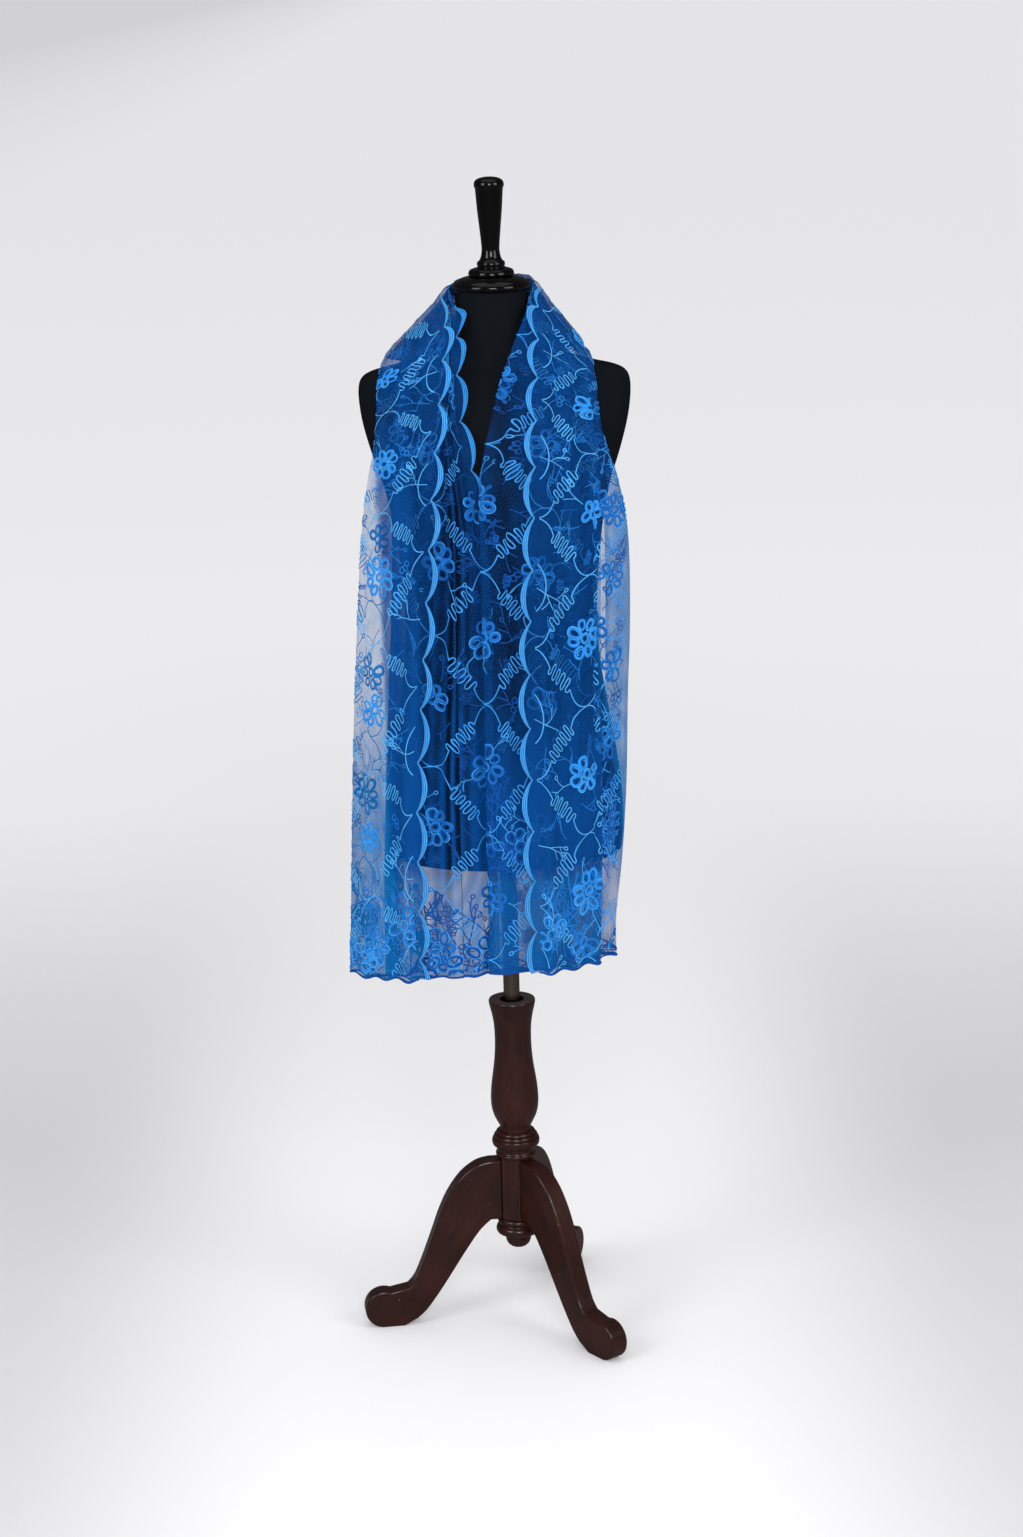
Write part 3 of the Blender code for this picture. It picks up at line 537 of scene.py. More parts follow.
def even_levels(stretch):
    """Levels that lie one row step apart along the cloth, and how far down from the crest each one is."""
    fine = np.linspace(0.0, stretch.last, FINE_LEVELS)
    middle = (stretch.value("edge", fine) + stretch.value("outer", fine)) / 2
    run = run_of(stretch.surface(middle, fine))
    even = np.linspace(0.0, run[-1], round(run[-1] / ROW_STEP) + 1)
    return np.interp(even, run, fine), even


left_rows, left_down = even_levels(left)
right_rows, right_down = even_levels(right)
LEFT_LENGTH, RIGHT_LENGTH = left_down[-1], right_down[-1]
NECK_LENGTH = 0.300
RIGHT_START = LEFT_LENGTH + NECK_LENGTH
SHEET_LENGTH = RIGHT_START + RIGHT_LENGTH
left_v = (LEFT_LENGTH - left_down)[::-1]
right_v = RIGHT_START + right_down


def hanging_patch(stretch, folds, before=0.0, after=0.0):
    """The patch of one folded layer of a stretch, with room for scallops before or after its edges."""
    rows = left_rows if stretch is left else right_rows
    points = stretch.layer(folds, rows, COLUMNS_PER_FOLD, before, after)
    first = BORDER_COLUMNS if before else 0
    last = -1 - BORDER_COLUMNS if after else -1
    if stretch is left:
        return Patch(points[::-1], left_v, first, last)
    return Patch(points, right_v, first, last)


left_front = hanging_patch(left, LEFT_FRONT_FOLDS, before=BORDER_ROOM)
left_under = hanging_patch(left, LEFT_UNDER_FOLDS, after=BORDER_ROOM)
right_front = hanging_patch(right, RIGHT_FRONT_FOLDS, before=BORDER_ROOM)
right_middle = hanging_patch(right, RIGHT_MIDDLE_FOLDS)
for name, patch in (("left front", left_front), ("left under", left_under),
                    ("right front", right_front), ("right middle", right_middle)):
    print(name, "is", patch.width.min().round(3), "to", patch.width.max().round(3), "m wide")

# %% [markdown]
# ## Round the back of the neck
# At the nape the layers are gathered into long pleats. Each sheet's cross-section at the left crest is
# measured against a sloping line from the neck down to the shoulder, then it turns into a pleated section
# at the nape, and from there into the section of the right crest. So the cloth is one piece all round.

# %% The neck patches
Station = namedtuple("Station", "azimuth top_radius top_z low_radius low_z")
BAND = table(
    Station,
    (180.0, 0.0600, 1.4620, 0.1450, 1.3770),
    (157.0, 0.0600, 1.4720, 0.1300, 1.3565),
    (125.0, 0.0610, 1.4770, 0.1070, 1.3430),
    (90.0, 0.0620, 1.4740, 0.0965, 1.3340),
    (55.0, 0.0610, 1.4790, 0.1050, 1.3430),
    (23.0, 0.0600, 1.4760, 0.1240, 1.3590),
    (0.0, 0.0600, 1.4630, 0.1320, 1.3750),
)
BAND_COLUMNS = 90
BAND_PLEATS = 5
PLEAT_HEIGHT = 0.0024
SMALL_PLEATS = 13
SMALL_PLEAT_HEIGHT = 0.0006
BAND_DRIFT = 0.04
GATHER_SHARE = 0.28


def band_line(share):
    """The ends of the sloping line at this share of the way round the neck, and its outward direction."""
    station = Station(*(spline(column, share * (len(BAND) - 1)) for column in zip(*BAND)))
    angle = math.radians(station.azimuth)
    away = np.array([math.cos(angle), math.sin(angle), 0.0])
    if share in (0.0, 1.0):
        away = np.array([round(away[0]), 0.0, 0.0])
    top = away * station.top_radius + np.array([0, 0, station.top_z])
    low = away * station.low_radius + np.array([0, 0, station.low_z])
    run = low - top
    normal = unit(np.array([away[0] * -run[2], away[1] * -run[2], run @ away]))
    return top, run, normal


def neck_patch(left_patch, right_patch, depths):
    """The patch round the neck between two hanging patches; depths are the layers' places at the nape."""
    sections = []
    even = np.linspace(0.0, 1.0, BAND_COLUMNS)
    for patch, row, share in ((left_patch, -1, 0.0), (right_patch, 0, 1.0)):
        top, run, normal = band_line(share)
        points = np.stack([np.interp(even, patch.across, patch.points[row, :, k]) for k in range(3)], 1)
        sections.append(((points - top) @ run / (run @ run), (points - top) @ normal))
    shares = np.linspace(0.0, 1.0, round(NECK_LENGTH / ROW_STEP) + 1)
    (start_down, start_off), (end_down, end_off) = sections
    nape_down = (start_down + end_down) / 2
    nape_off = spline(depths, np.linspace(0, len(depths) - 1, BAND_COLUMNS))
    grid = []
    for share in shares:
        top, run, normal = band_line(share)
        from_left = 1 - smooth_step(0.0, GATHER_SHARE, share)
        from_right = smooth_step(1 - GATHER_SHARE, 1.0, share)
        middle = 1 - from_left - from_right
        down = start_down * from_left + end_down * from_right + nape_down * middle
        warped = down + BAND_DRIFT * np.sin(2 * np.pi * down + 3 * share)
        pleat = PLEAT_HEIGHT * np.cos(2 * np.pi * BAND_PLEATS * warped)
        pleat = pleat + SMALL_PLEAT_HEIGHT * np.cos(2 * np.pi * SMALL_PLEATS * down + 5 * share)
        off = start_off * from_left + end_off * from_right + (nape_off + pleat) * middle
        grid.append(top + run * down[:, None] + normal * off[:, None])
    return Patch(np.array(grid), LEFT_LENGTH + NECK_LENGTH * shares, across=even)


FRONT_DEPTHS = (-0.0006, -0.0006, -0.0007, -0.0015, -0.0022)
UNDER_DEPTHS = (-0.0046, -0.0046, -0.0040, -0.0034, -0.0034, -0.0034, -0.0046)
neck_front = neck_patch(left_front, right_front, FRONT_DEPTHS)
neck_under = neck_patch(left_under, right_middle, UNDER_DEPTHS)
print("neck patches:", neck_front.points.shape, neck_under.points.shape)

# %% [markdown]
# ## The scalloped edge
# The long edge is cut in shallow scallops, and each one is bound with a crescent of satin stitch that
# thins out at the cusps. Distances along the edge are counted in scallops, from the cusp at the top of
# the left stretch (0) to the one at the top of the right stretch (5) and on to the right hem. The tables
# hold how far below the crest each cusp lies: they are closer where the cloth is drawn in at the chest.

# %% Scallops
LEFT_CUSPS = (0.0575, 0.1003, 0.1538, 0.2100, 0.2662, 0.3317, 0.4026, 0.4802,
              0.5484, 0.6219, 0.6915, 0.7620, 0.8325, 0.9030, 0.9735)
RIGHT_CUSPS = (0.0371, 0.0809, 0.1286, 0.1803, 0.2360, 0.2996, 0.3673, 0.4349,
               0.5065, 0.5807, 0.6510, 0.7226, 0.7929, 0.8645, 0.9360, 1.0075)
NECK_SCALLOPS = 5
SCALLOP_PITCH = 0.067
SCALLOP_REACH = 0.0170
SCALLOP_FULLNESS = 0.75
SATIN_WIDTH = 0.0076
SATIN_CUSP = 0.0021
cusp_counts = np.r_[-np.arange(len(LEFT_CUSPS))[::-1], NECK_SCALLOPS + np.arange(len(RIGHT_CUSPS))]
cusp_places = np.r_[LEFT_LENGTH - np.array(LEFT_CUSPS)[::-1], RIGHT_START + np.array(RIGHT_CUSPS)]


def scallops_at(v):
    """How many scallops along the edge this place is."""
    return np.interp(v, cusp_places, cusp_counts)


def place_of(scallops):
    return np.interp(scallops, cusp_counts, cusp_places)


def scallop_wave(v, shift=0.0):
    """0 at each cusp and 1 in the middle of each scallop."""
    return np.abs(np.sin(np.pi * (scallops_at(v) - shift)))


def scallop_size(v):
    """1 on the hanging stretches and 0 round the neck, where the edge is drawn in."""
    count = scallops_at(v)
    return 1 - smooth_step(-0.2, 0.7, count) + smooth_step(NECK_SCALLOPS - 0.7, NECK_SCALLOPS + 0.1, count)


def satin_width(v, size, shift=0.0):
    return SATIN_CUSP + size * (SATIN_WIDTH - SATIN_CUSP) * scallop_wave(v, shift)


def scallop_reach(v, size, shift=0.0):
    """How far the satin's outer line stands beyond the edge."""
    return size * (SATIN_CUSP + (SCALLOP_REACH - SATIN_CUSP) * scallop_wave(v, shift) ** SCALLOP_FULLNESS)


print("scallops along the front edge:", int(scallops_at(SHEET_LENGTH) - scallops_at(0.0)))

# %% [markdown]
# ## Making shells
# Blender's grid operator makes a flat sheet of quads in the unit square, and each corner is then moved to
# its place on a patch. The UV map keeps the flat distances in metres, so the net's mesh and the stitches
# are drawn at their real size and follow the drape. Every piece is put together by one small function,
# which also hides the CAD solids that it stands for.

# %% Shells
def add_piece(name, mesh, material, replaces=(), angle=60.0):
    """Link the mesh as a finished piece that rides on the part's one body."""
    mesh.materials.append(material)
    mesh.transform(Matrix.Translation(AXIS))
    mesh.shade_smooth()
    mesh.set_sharp_from_angle(angle=math.radians(angle))
    made = link_object(name, mesh)
    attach(made, "root")
    if replaces:
        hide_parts(*replaces)
    return made


def corners_of(mesh):
    corners = np.empty(len(mesh.vertices) * 3)
    mesh.vertices.foreach_get("co", corners)
    return corners.reshape(-1, 3)


def flat_grid(name, across, along):
    """A grid mesh of this many quads, with each corner's row and column numbers."""
    build = bmesh.new()
    build.loops.layers.uv.new("cloth")
    bmesh.ops.create_grid(build, x_segments=across, y_segments=along, size=0.5, calc_uvs=True)
    mesh = to_mesh(build, name)
    corners = corners_of(mesh) + 0.5
    return mesh, np.rint(corners[:, 1] * along).astype(int), np.rint(corners[:, 0] * across).astype(int)


def set_points(mesh, points):
    mesh.vertices.foreach_set("co", np.asarray(points, np.float32).ravel())
    mesh.update()


def set_uv(mesh, u, v):
    """Store distances across and along the cloth, given for each vertex, as the UV map."""
    owner = np.empty(len(mesh.loops), int)
    mesh.loops.foreach_get("vertex_index", owner)
    mesh.uv_layers[0].uv.foreach_set("vector", np.stack([u[owner], v[owner]], 1).astype(np.float32).ravel())


def set_values(mesh, name, values):
    """Store one number for each vertex, for a material to read."""
    mesh.attributes.new(name, "FLOAT", "POINT").data.foreach_set("value", np.asarray(values, np.float32))


print("a 3 by 2 grid has", len(flat_grid("try_out", 3, 2)[0].vertices), "corners")
bpy.data.meshes.remove(bpy.data.meshes["try_out"])

# %% [markdown]
# ## The outline of the net
# The net ends under the middle of the satin, so its edge follows the scallops. The front sheet is scalloped
# all along, and the under sheet shows its own scallops only at the left, beside the neck. The columns
# beyond the edge of a patch are drawn in to that outline, which keeps the grid whole.

# %% The outline of the net
UNDER_SHIFT = -0.45
UNDER_BORDER_TOP, UNDER_BORDER_LOW = 0.060, 0.300
UNDER_SOFT_TOP, UNDER_SOFT_LOW = 0.03, 0.06


def under_size(v):
    """1 where the under sheet's own scallops show at the left, beside the neck."""
    down = LEFT_LENGTH - v
    begun = smooth_step(UNDER_BORDER_TOP - UNDER_SOFT_TOP, UNDER_BORDER_TOP, down)
    return begun * (1 - smooth_step(UNDER_BORDER_LOW - UNDER_SOFT_LOW, UNDER_BORDER_LOW, down))


def room_beyond(v, size, satin_size, shift=0.0):
    """How far the net reaches beyond the edge: to the middle of the satin."""
    return np.maximum(scallop_reach(v, size, shift) - satin_width(v, satin_size, shift) / 2, 0.0)


def net_piece(name, patches, replaces):
    """The net of one or more patches as one shell, its edges drawn in to the scalloped outlines."""
    build = bmesh.new()
    for patch in patches:
        mesh, row, column = flat_grid("patch", len(patch.across) - 1, len(patch.v) - 1)
        v = patch.v[row]
        width = patch.width[row]
        u = patch.across[column] * width
        before = patch.across[column] / min(patch.across[0], -1e-9)
        room = room_beyond(v, scallop_size(v), scallop_size(v))
        u = np.where(column < patch.first, before * -room, u)
        beyond = (patch.across[column] - 1) / max(patch.across[-1] - 1, 1e-9)
        room = room_beyond(v, under_size(v), 1.0, UNDER_SHIFT)
        u = np.where(column > patch.last, width + beyond * room, u)
        points = patch.place(u, v)
        set_points(mesh, points)
        set_uv(mesh, u, v)
        set_values(mesh, "plies", net_plies(u, v, patch, points))
        set_values(mesh, "lit", net_light(column / COLUMNS_PER_FOLD, v, patch))
        # "open" places the painted backlight, where the net hangs clear of the form
        set_values(mesh, "open", net_backlight(v, patch, points))
        if patch in FRONT_PATCHES:
            mesh.flip_normals()
        build.from_mesh(mesh)
        bpy.data.meshes.remove(mesh)
    return add_piece(name, to_mesh(build, name), net, replaces)


FRONT_PATCHES = (left_front, neck_front, right_front)
UNDER_PATCHES = (left_under, neck_under, right_middle)
print("the under sheet's scallops end", UNDER_BORDER_LOW, "m below the crest")

# %% [markdown]
# ## The net itself
# Real net is a honeycomb of fine thread, mostly holes. Three cosine waves at 120 degrees to each other add
# up to a lattice of round peaks, and where the sum is low there is thread. The holes still catch some
# light on their fibres, so they aren't quite clear. Three numbers are stored at each corner of a shell.
# "plies" says how many thicknesses of gathered net lie there: the first shows its mesh, and each further
# one lets through the same share. "lit" darkens the deep pleats down the middle. "open" is painted
# backlight: a paler blue where the net hangs clear of the form, standing in for the bright room behind it.

# %% The net material
NET_PITCH = 0.0020
NET_COLOUR = (0.0003, 0.062, 0.270, 1.0)
# the second blue is painted backlight, for net with the bright room behind it
NET_BACKLIT = (0.0010, 0.150, 0.420, 1.0)
HOLE_ALPHA, THREAD_ALPHA, FURTHER_CLEAR = 0.10, 0.62, 0.68


def painted(nodes, name, output="Fac"):
    """What is stored on the mesh under this name."""
    return add_node(nodes, "ShaderNodeAttribute", attribute_name=name).outputs[output]


net, nodes, shader = new_material("blue_net", Base_Color=NET_COLOUR, Roughness=0.62, Specular_IOR_Level=0.06)
flat = add_node(nodes, "ShaderNodeUVMap", uv_map="cloth").outputs[0]
waves = []
for turn in np.radians((0, 60, 120)):
    pace = 4 * math.pi / (math.sqrt(3) * NET_PITCH)
    way = (math.cos(turn) * pace, math.sin(turn) * pace, 0.0)
    along = add_node(nodes, "ShaderNodeVectorMath", (flat, way), operation="DOT_PRODUCT").outputs["Value"]
    waves.append(maths(nodes, "COSINE", along))
total = maths(nodes, "ADD", maths(nodes, "ADD", waves[0], waves[1]), waves[2])
thread_share = ramp(nodes, total, -0.15, -0.85, 0.0, 1.0)
net_alpha = ramp(nodes, thread_share, 0.0, 1.0, HOLE_ALPHA, THREAD_ALPHA, soft=False)
plies = painted(nodes, "plies")
through = maths(nodes, "SUBTRACT", 1.0, net_alpha)
first_ply = maths(nodes, "POWER", through, maths(nodes, "MINIMUM", plies, 1.0))
further = maths(nodes, "MAXIMUM", maths(nodes, "SUBTRACT", plies, 1.0), 0.0)
clear = maths(nodes, "MULTIPLY", first_ply, maths(nodes, "POWER", FURTHER_CLEAR, further))
plug(maths(nodes, "SUBTRACT", 1.0, clear), shader.inputs["Alpha"])
lit_colour = add_node(nodes, "ShaderNodeVectorMath", (NET_COLOUR[:3],), operation="SCALE")
plug(painted(nodes, "lit"), lit_colour.inputs["Scale"])
# painted backlight: a paler blue mixed in where "open" says the net hangs clear
plug(blend(nodes, painted(nodes, "open"), lit_colour.outputs[0], NET_BACKLIT), shader.inputs["Base Color"])
print("the net's mesh is", NET_PITCH * 1000, "mm wide")

# %% [markdown]
# ## Where the net hangs clear
# The net looks different on the form, beside it and below it, so these rules say where each corner is. The
# rings of the form give its width at each height, and its torso is made from the same rings later.

# %% On the form, beside it or below it
Ring = namedtuple("Ring", "z half_width front back")
TORSO_RINGS = table(
    Ring,
    (0.690, 0.157, 0.108, 0.110),
    (0.735, 0.161, 0.112, 0.117),
    (0.800, 0.157, 0.110, 0.118),
    (0.880, 0.145, 0.103, 0.106),
    (0.950, 0.134, 0.096, 0.092),
    (1.010, 0.130, 0.092, 0.086),
    (1.080, 0.133, 0.099, 0.090),
    (1.150, 0.141, 0.114, 0.098),
    (1.200, 0.151, 0.120, 0.103),
    (1.240, 0.164, 0.119, 0.106),
    (1.280, 0.175, 0.110, 0.106),
    (1.310, 0.180, 0.097, 0.101),
    (1.334, 0.1805, 0.082, 0.093),
    (1.348, 0.1755, 0.069, 0.081),
    (1.356, 0.162, 0.060, 0.072),
    (1.362, 0.137, 0.055, 0.066),
    (1.370, 0.110, 0.052, 0.060),
    (1.382, 0.082, 0.049, 0.055),
    (1.398, 0.058, 0.047, 0.051),
    (1.420, 0.049, 0.046, 0.048),
    (1.4590, 0.047, 0.045, 0.046),
)
ring_columns = np.array(TORSO_RINGS).T
FORM_SIDE, BASE_SOFT = (-0.010, 0.000), 0.006
GATHER_OUTER, GATHER_INNER = (-0.162, -0.150), (-0.118, -0.104)
BELOW_SHOULDER = (0.14, 0.26)


def beside_form(points):
    """1 where the net hangs clear beside the form."""
    half_width = np.interp(points[:, 2], ring_columns[0], ring_columns[1])
    return smooth_step(*FORM_SIDE, np.abs(points[:, 0]) - half_width)


def below_form(points):
    """1 where the net hangs below the form's base."""
    base = TORSO_RINGS[0].z
    return 1 - smooth_step(base - BASE_SOFT, base + BASE_SOFT, points[:, 2])


def gathered(v, points):
    """1 where the left stretch is folded in close beside the form, so that it is dark there."""
    x = points[:, 0]
    band = smooth_step(*GATHER_OUTER, x) * (1 - smooth_step(*GATHER_INNER, x))
    return band * smooth_step(*BELOW_SHOULDER, LEFT_LENGTH - v) * (1 - below_form(points))


print("the form is", 2 * ring_columns[1].max(), "m wide at the shoulder")

# %% [markdown]
# ## How thick and how bright the net is
# Gathered cloth isn't even: it lies thick at the crests of the shoulders, down the folded sides and near
# the hems, and thin in one strip where the form shows through. Fine folds make streaks in it, and the
# deep pleats down the middle get little light.

# %% Thickness and light
NEAR_CREST, FAR_DOWN = (0.03, 0.17), (0.50, 0.74)
THIN_X, THIN_WIDTH, THIN_SHARE = 0.008, 0.032, 0.78
# how far down and how strongly the painted backlight shows: beside the form, on the left under layer and
# below the form
BACKLIGHT_START, BACKLIGHT_BESIDE, BACKLIGHT_UNDER, BACKLIGHT_BELOW = 0.12, 0.9, 0.2, 0.4


def streaks(u, v, seed, strength):
    """Soft uneven streaks down the cloth, where it lies in fine folds, and cloudy places: about 1."""
    drift = 0.006 * np.sin(5.1 * v + seed) + 0.004 * np.sin(11.3 * v + 2.3 * seed)
    wave = 0.50 * np.sin((u + drift) / 0.0067 + seed) + 0.35 * np.sin((u - drift) / 0.0031 + 3.7 * seed)
    cloud = np.sin(150.0 * u + 4.0 * np.sin(21.0 * v + seed))
    cloud = cloud * np.sin(58.0 * v + 3.0 * np.sin(70.0 * u + seed))
    return 1 + strength * wave * (0.6 + 0.4 * np.sin(7.0 * v + 40.0 * u + seed)) + 0.26 * cloud


def net_plies(u, v, patch, points):
    """How many thicknesses of net lie at this place: more where the cloth is gathered in.

    Down the right stretch runs one thin strip, where the form shows through.
    """
    width = patch.width_at(v)
    crest = 1 - smooth_step(*NEAR_CREST, np.minimum(np.abs(v - LEFT_LENGTH), np.abs(v - RIGHT_START)))
    low = smooth_step(*FAR_DOWN, np.maximum(LEFT_LENGTH - v, v - RIGHT_START))
    beside = beside_form(points)
    if patch is left_front:
        inner = 1 - smooth_step(0.35, 0.60, u / width)
        plies = 1.0 + 1.0 * crest + 0.8 * low + 1.3 * low * inner + 2.4 * gathered(v, points)
        plies = plies - 0.3 * beside * (1 - low) * (1 - crest) * (1 - gathered(v, points))
        return plies * streaks(u, v, 0.0, 0.25)
    if patch is left_under:
        inner = smooth_step(0.45, 0.65, u / width)
        outer = (1 - inner) * beside * smooth_step(*BELOW_SHOULDER, LEFT_LENGTH - v)
        plies = 0.85 + 0.8 * crest + 3.6 * outer + 0.8 * low + (0.35 + 2.4 * low) * inner
        return plies * streaks(u, v, 1.0, 0.35)
    if patch is right_front:
        return (1.0 + 1.0 * crest + 2.3 * low) * streaks(u, v, 2.0, 0.35)
    if patch is right_middle:
        inner = smooth_step(0.24, 0.40, u / width)
        plies = 0.95 + 0.8 * crest + 1.2 * beside * (1 - crest) + 0.5 * low + 1.9 * low * inner
        thin = np.exp(-((points[:, 0] - THIN_X) / THIN_WIDTH) ** 2) * (1 - crest) * (1 - low)
        return plies * (1 - THIN_SHARE * thin) * streaks(u, v, 3.0, 0.45)
    return 3.0 * streaks(u, v, 4.0, 0.45)


def net_backlight(v, patch, points):
    """How much of the painted backlight, a paler blue, the net shows, from 0 to 1."""
    hanging = (v < LEFT_LENGTH - BACKLIGHT_START) | (v > RIGHT_START + BACKLIGHT_START)
    share = BACKLIGHT_UNDER if patch is left_under else BACKLIGHT_BESIDE
    beside = beside_form(points) * share * (1 - gathered(v, points))
    return hanging * np.maximum(beside, BACKLIGHT_BELOW * below_form(points))


PLEATS_START, LIGHT_LIMITS = (0.12, 0.30), (0.12, 1.8)
PleatLine = namedtuple("PleatLine", "fold width gain")
PLEAT_LINES = table(
    PleatLine,
    (10.2, 0.55, -0.45), (11.3, 0.35, 0.55), (12.35, 0.60, -0.95), (13.05, 0.22, 0.95), (13.7, 0.50, -0.95),
    (14.6, 0.35, 0.60), (15.5, 0.60, -0.55),
)


def net_light(fold, v, patch):
    """How much light reaches the net: little in the deep pleats down the middle, more on their rims."""
    light = np.full(len(v), 1.0)
    if patch is not left_under:
        return light
    shown = smooth_step(*PLEATS_START, LEFT_LENGTH - v)
    for line in PLEAT_LINES:
        drift = 0.12 * np.sin(9.0 * v + 2.0 * line.fold)
        light = light + line.gain * shown * np.exp(-((fold - line.fold - drift) / line.width) ** 2)
    return np.clip(light, *LIGHT_LIMITS)


print("pleats down the middle:", len(PLEAT_LINES))

# %% [markdown]
# ## The five shells of net
# Each stretch that shows is a shell of its own, and the two sheets round the neck make one more. Each
# takes the place of its CAD solid, which has a wall that is thicker than real net.

# %% Make the shells
NETS = (
    ("left_front_net", [left_front], "left_front"),
    ("left_under_net", [left_under], "left_under"),
    ("neck_net", [neck_front, neck_under], "neck_band"),
    ("right_front_net", [right_front], "right_front"),
    ("right_middle_net", [right_middle], "right_middle"),
)
for name, patches, node in NETS:
    made = net_piece(name, patches, (node,))
    print(name, "has", len(made.data.polygons), "faces")

# %% [markdown]
# ## Drawing on the flat cloth
# The flowers and the trellis were corded on flat net by machine, so they are drawn flat here too, in
# metres: across from the sheet's edge, and along in scallops. A sheet turns a point of that drawing into
# distances on its cloth, and those into a place on the drape.

# %% The two sheets
END_MARGIN, EDGE_MARGIN = 0.004, 0.0015


class Sheet(namedtuple("Sheet", "patches side anchor shifts shears reaches")):
    """A whole sheet of net: its three patches, and how the trellis lies on it.

    Its numbers come in pairs, one for the left stretch and one for the right. The anchor is the share of
    the width that the pattern starts from, the shift and the shear move it along the cloth, and the reach
    is how far across it is stitched. The side is 1 if the pattern lies on the front of the cloth, else -1.
    """

    def lean(self, point):
        """A point of the upright trellis, moved along the cloth as far as the trellis leans there."""
        share = float(smooth_step(0.0, NECK_SCALLOPS, point[1] / SCALLOP_PITCH))
        return point[0], point[1] + (self.shears[0] * (1 - share) + self.shears[1] * share) * point[0]

    @staticmethod
    def patch_number(v):
        """0 on the left stretch, 1 round the neck and 2 on the right stretch."""
        return (v >= LEFT_LENGTH).astype(int) + (v >= RIGHT_START).astype(int)

    def spot(self, x, y):
        """Where a point of the flat pattern lies on this sheet, as u and v."""
        count = y / SCALLOP_PITCH
        share = smooth_step(0.0, NECK_SCALLOPS, count)
        v = place_of(count + self.shifts[0] * (1 - share) + self.shifts[1] * share)
        if self.side > 0:
            return x, v
        anchor = np.interp(v, (LEFT_LENGTH, RIGHT_START), self.anchor) * self.width_at(v)
        return anchor - x, v

    def width_at(self, v):
        number = self.patch_number(v)
        return np.choose(number, [patch.width_at(v) for patch in self.patches])

    def place(self, u, v, height):
        """Points on the sheet at these distances across and along it, lifted off it by height."""
        number = self.patch_number(v)
        found = np.zeros((len(u), 3))
        for k, patch in enumerate(self.patches):
            chosen = number == k
            if chosen.any():
                found[chosen] = patch.place(u[chosen], v[chosen], self.side * height[chosen])
        return found

    def inside(self, x, y, u, v):
        """Where the pattern is stitched: on the cloth, as far across as it can be seen."""
        share = smooth_step(0.0, NECK_SCALLOPS, y / SCALLOP_PITCH)
        low, high = (a * (1 - share) + b * share for a, b in zip(*self.reaches))
        on_cloth = (u > EDGE_MARGIN) & (u < self.width_at(v) - END_MARGIN)
        return on_cloth & (x > low) & (x < high) & (v > END_MARGIN) & (v < SHEET_LENGTH - END_MARGIN)


INNER_FOLD = float(right_middle.across[INNER_FOLD_NUMBER * COLUMNS_PER_FOLD])
front_sheet = Sheet(FRONT_PATCHES, side=1.0, anchor=(0.0, 0.0), shifts=(0.0, 0.0), shears=(-0.46, -0.07),
                    reaches=((0.0, 0.186), (0.0, 0.112)))
under_sheet = Sheet(UNDER_PATCHES, side=-1.0, anchor=(1.0, INNER_FOLD), shifts=(UNDER_SHIFT, -1.45),
                    shears=(0.10, 0.0), reaches=((0.0, 0.160), (-0.015, 0.216)))
print("the right under layer folds in at", round(INNER_FOLD, 3), "of its width")

# %% [markdown]
# ## Threads as cords
# A thread is a line of points with a radius. All threads of one stretch become one bevelled curve, because
# Blender then rounds the bends itself. The curve becomes a mesh, and each corner of the mesh is laid on
# the drape, a little flattened, as stitches press a cord flat. What runs off the cloth is cut away.

# %% Cords laid on the drape
Thread = namedtuple("Thread", "points radius closed")
FLATTEN, THREAD_LIFT = 0.5, 0.0004


def cord_mesh(name, lines, **settings):
    """A mesh of round cords, each along a line of points with its own radius, and closed or open."""
    curve = bpy.data.curves.new(name, "CURVE")
    curve.dimensions = "3D"
    curve.bevel_depth = 1.0
    curve.use_fill_caps = True
    for setting, value in settings.items():
        setattr(curve, setting, value)
    for points, radius, closed in lines:
        made = curve.splines.new("POLY")
        made.points.add(len(points) - 1)
        places = np.zeros((len(points), 4))
        places[:, :points.shape[1]] = points
        made.points.foreach_set("co", places.ravel())
        made.points.foreach_set("radius", np.broadcast_to(radius, len(points)).astype(float))
        made.use_cyclic_u = closed
    holder = bpy.data.objects.new(name, curve)
    mesh = bpy.data.meshes.new_from_object(holder)
    bpy.data.objects.remove(holder)
    mesh.name = name
    return mesh


def thread_mesh(name, sheet, threads, lift):
    """One mesh of many threads, each made a flattened cord and laid on the sheet."""
    mesh = cord_mesh(name, threads, twist_mode="Z_UP", bevel_resolution=0)
    corners = corners_of(mesh)
    u, v = sheet.spot(corners[:, 0], corners[:, 1])
    set_points(mesh, sheet.place(u, v, corners[:, 2] * FLATTEN + lift))
    mesh.flip_normals()
    return mesh


def clipped(sheet, threads):
    """The threads cut off at the sheet's ends and sorted by the patch that they lie on."""
    sorted_threads = ([], [], [])
    for thread in threads:
        points = np.asarray(thread.points)
        u, v = sheet.spot(points[:, 0], points[:, 1])
        keep = sheet.inside(points[:, 0], points[:, 1], u, v)
        if keep.all():
            sorted_threads[sheet.patch_number(v[len(v) // 2])].append(thread)
            continue
        radius = np.broadcast_to(thread.radius, len(points))
        if thread.closed and keep.any():
            turn = int(np.argmin(keep))
            points, keep, radius = (np.roll(part, -turn, axis=0) for part in (points, keep, radius))
            v = np.roll(v, -turn)
        edges = np.flatnonzero(np.diff(np.concatenate([[0], keep.astype(int), [0]])))
        for start, end in zip(edges[::2], edges[1::2]):
            if end - start >= 3:
                piece = Thread(points[start:end], radius[start:end], False)
                sorted_threads[sheet.patch_number(v[start])].append(piece)
    return sorted_threads


print("threads lie", THREAD_LIFT * 1000, "mm above the net")

# %% [markdown]
# ## The trellis
# The pattern is drawn by rules, with a little chance in each of them. The trellis is made of diamonds, two
# and a half scallops high. Every side leaves its node level, bends down into a close zigzag of hairpin
# loops, and comes out in a second bend to the next node.

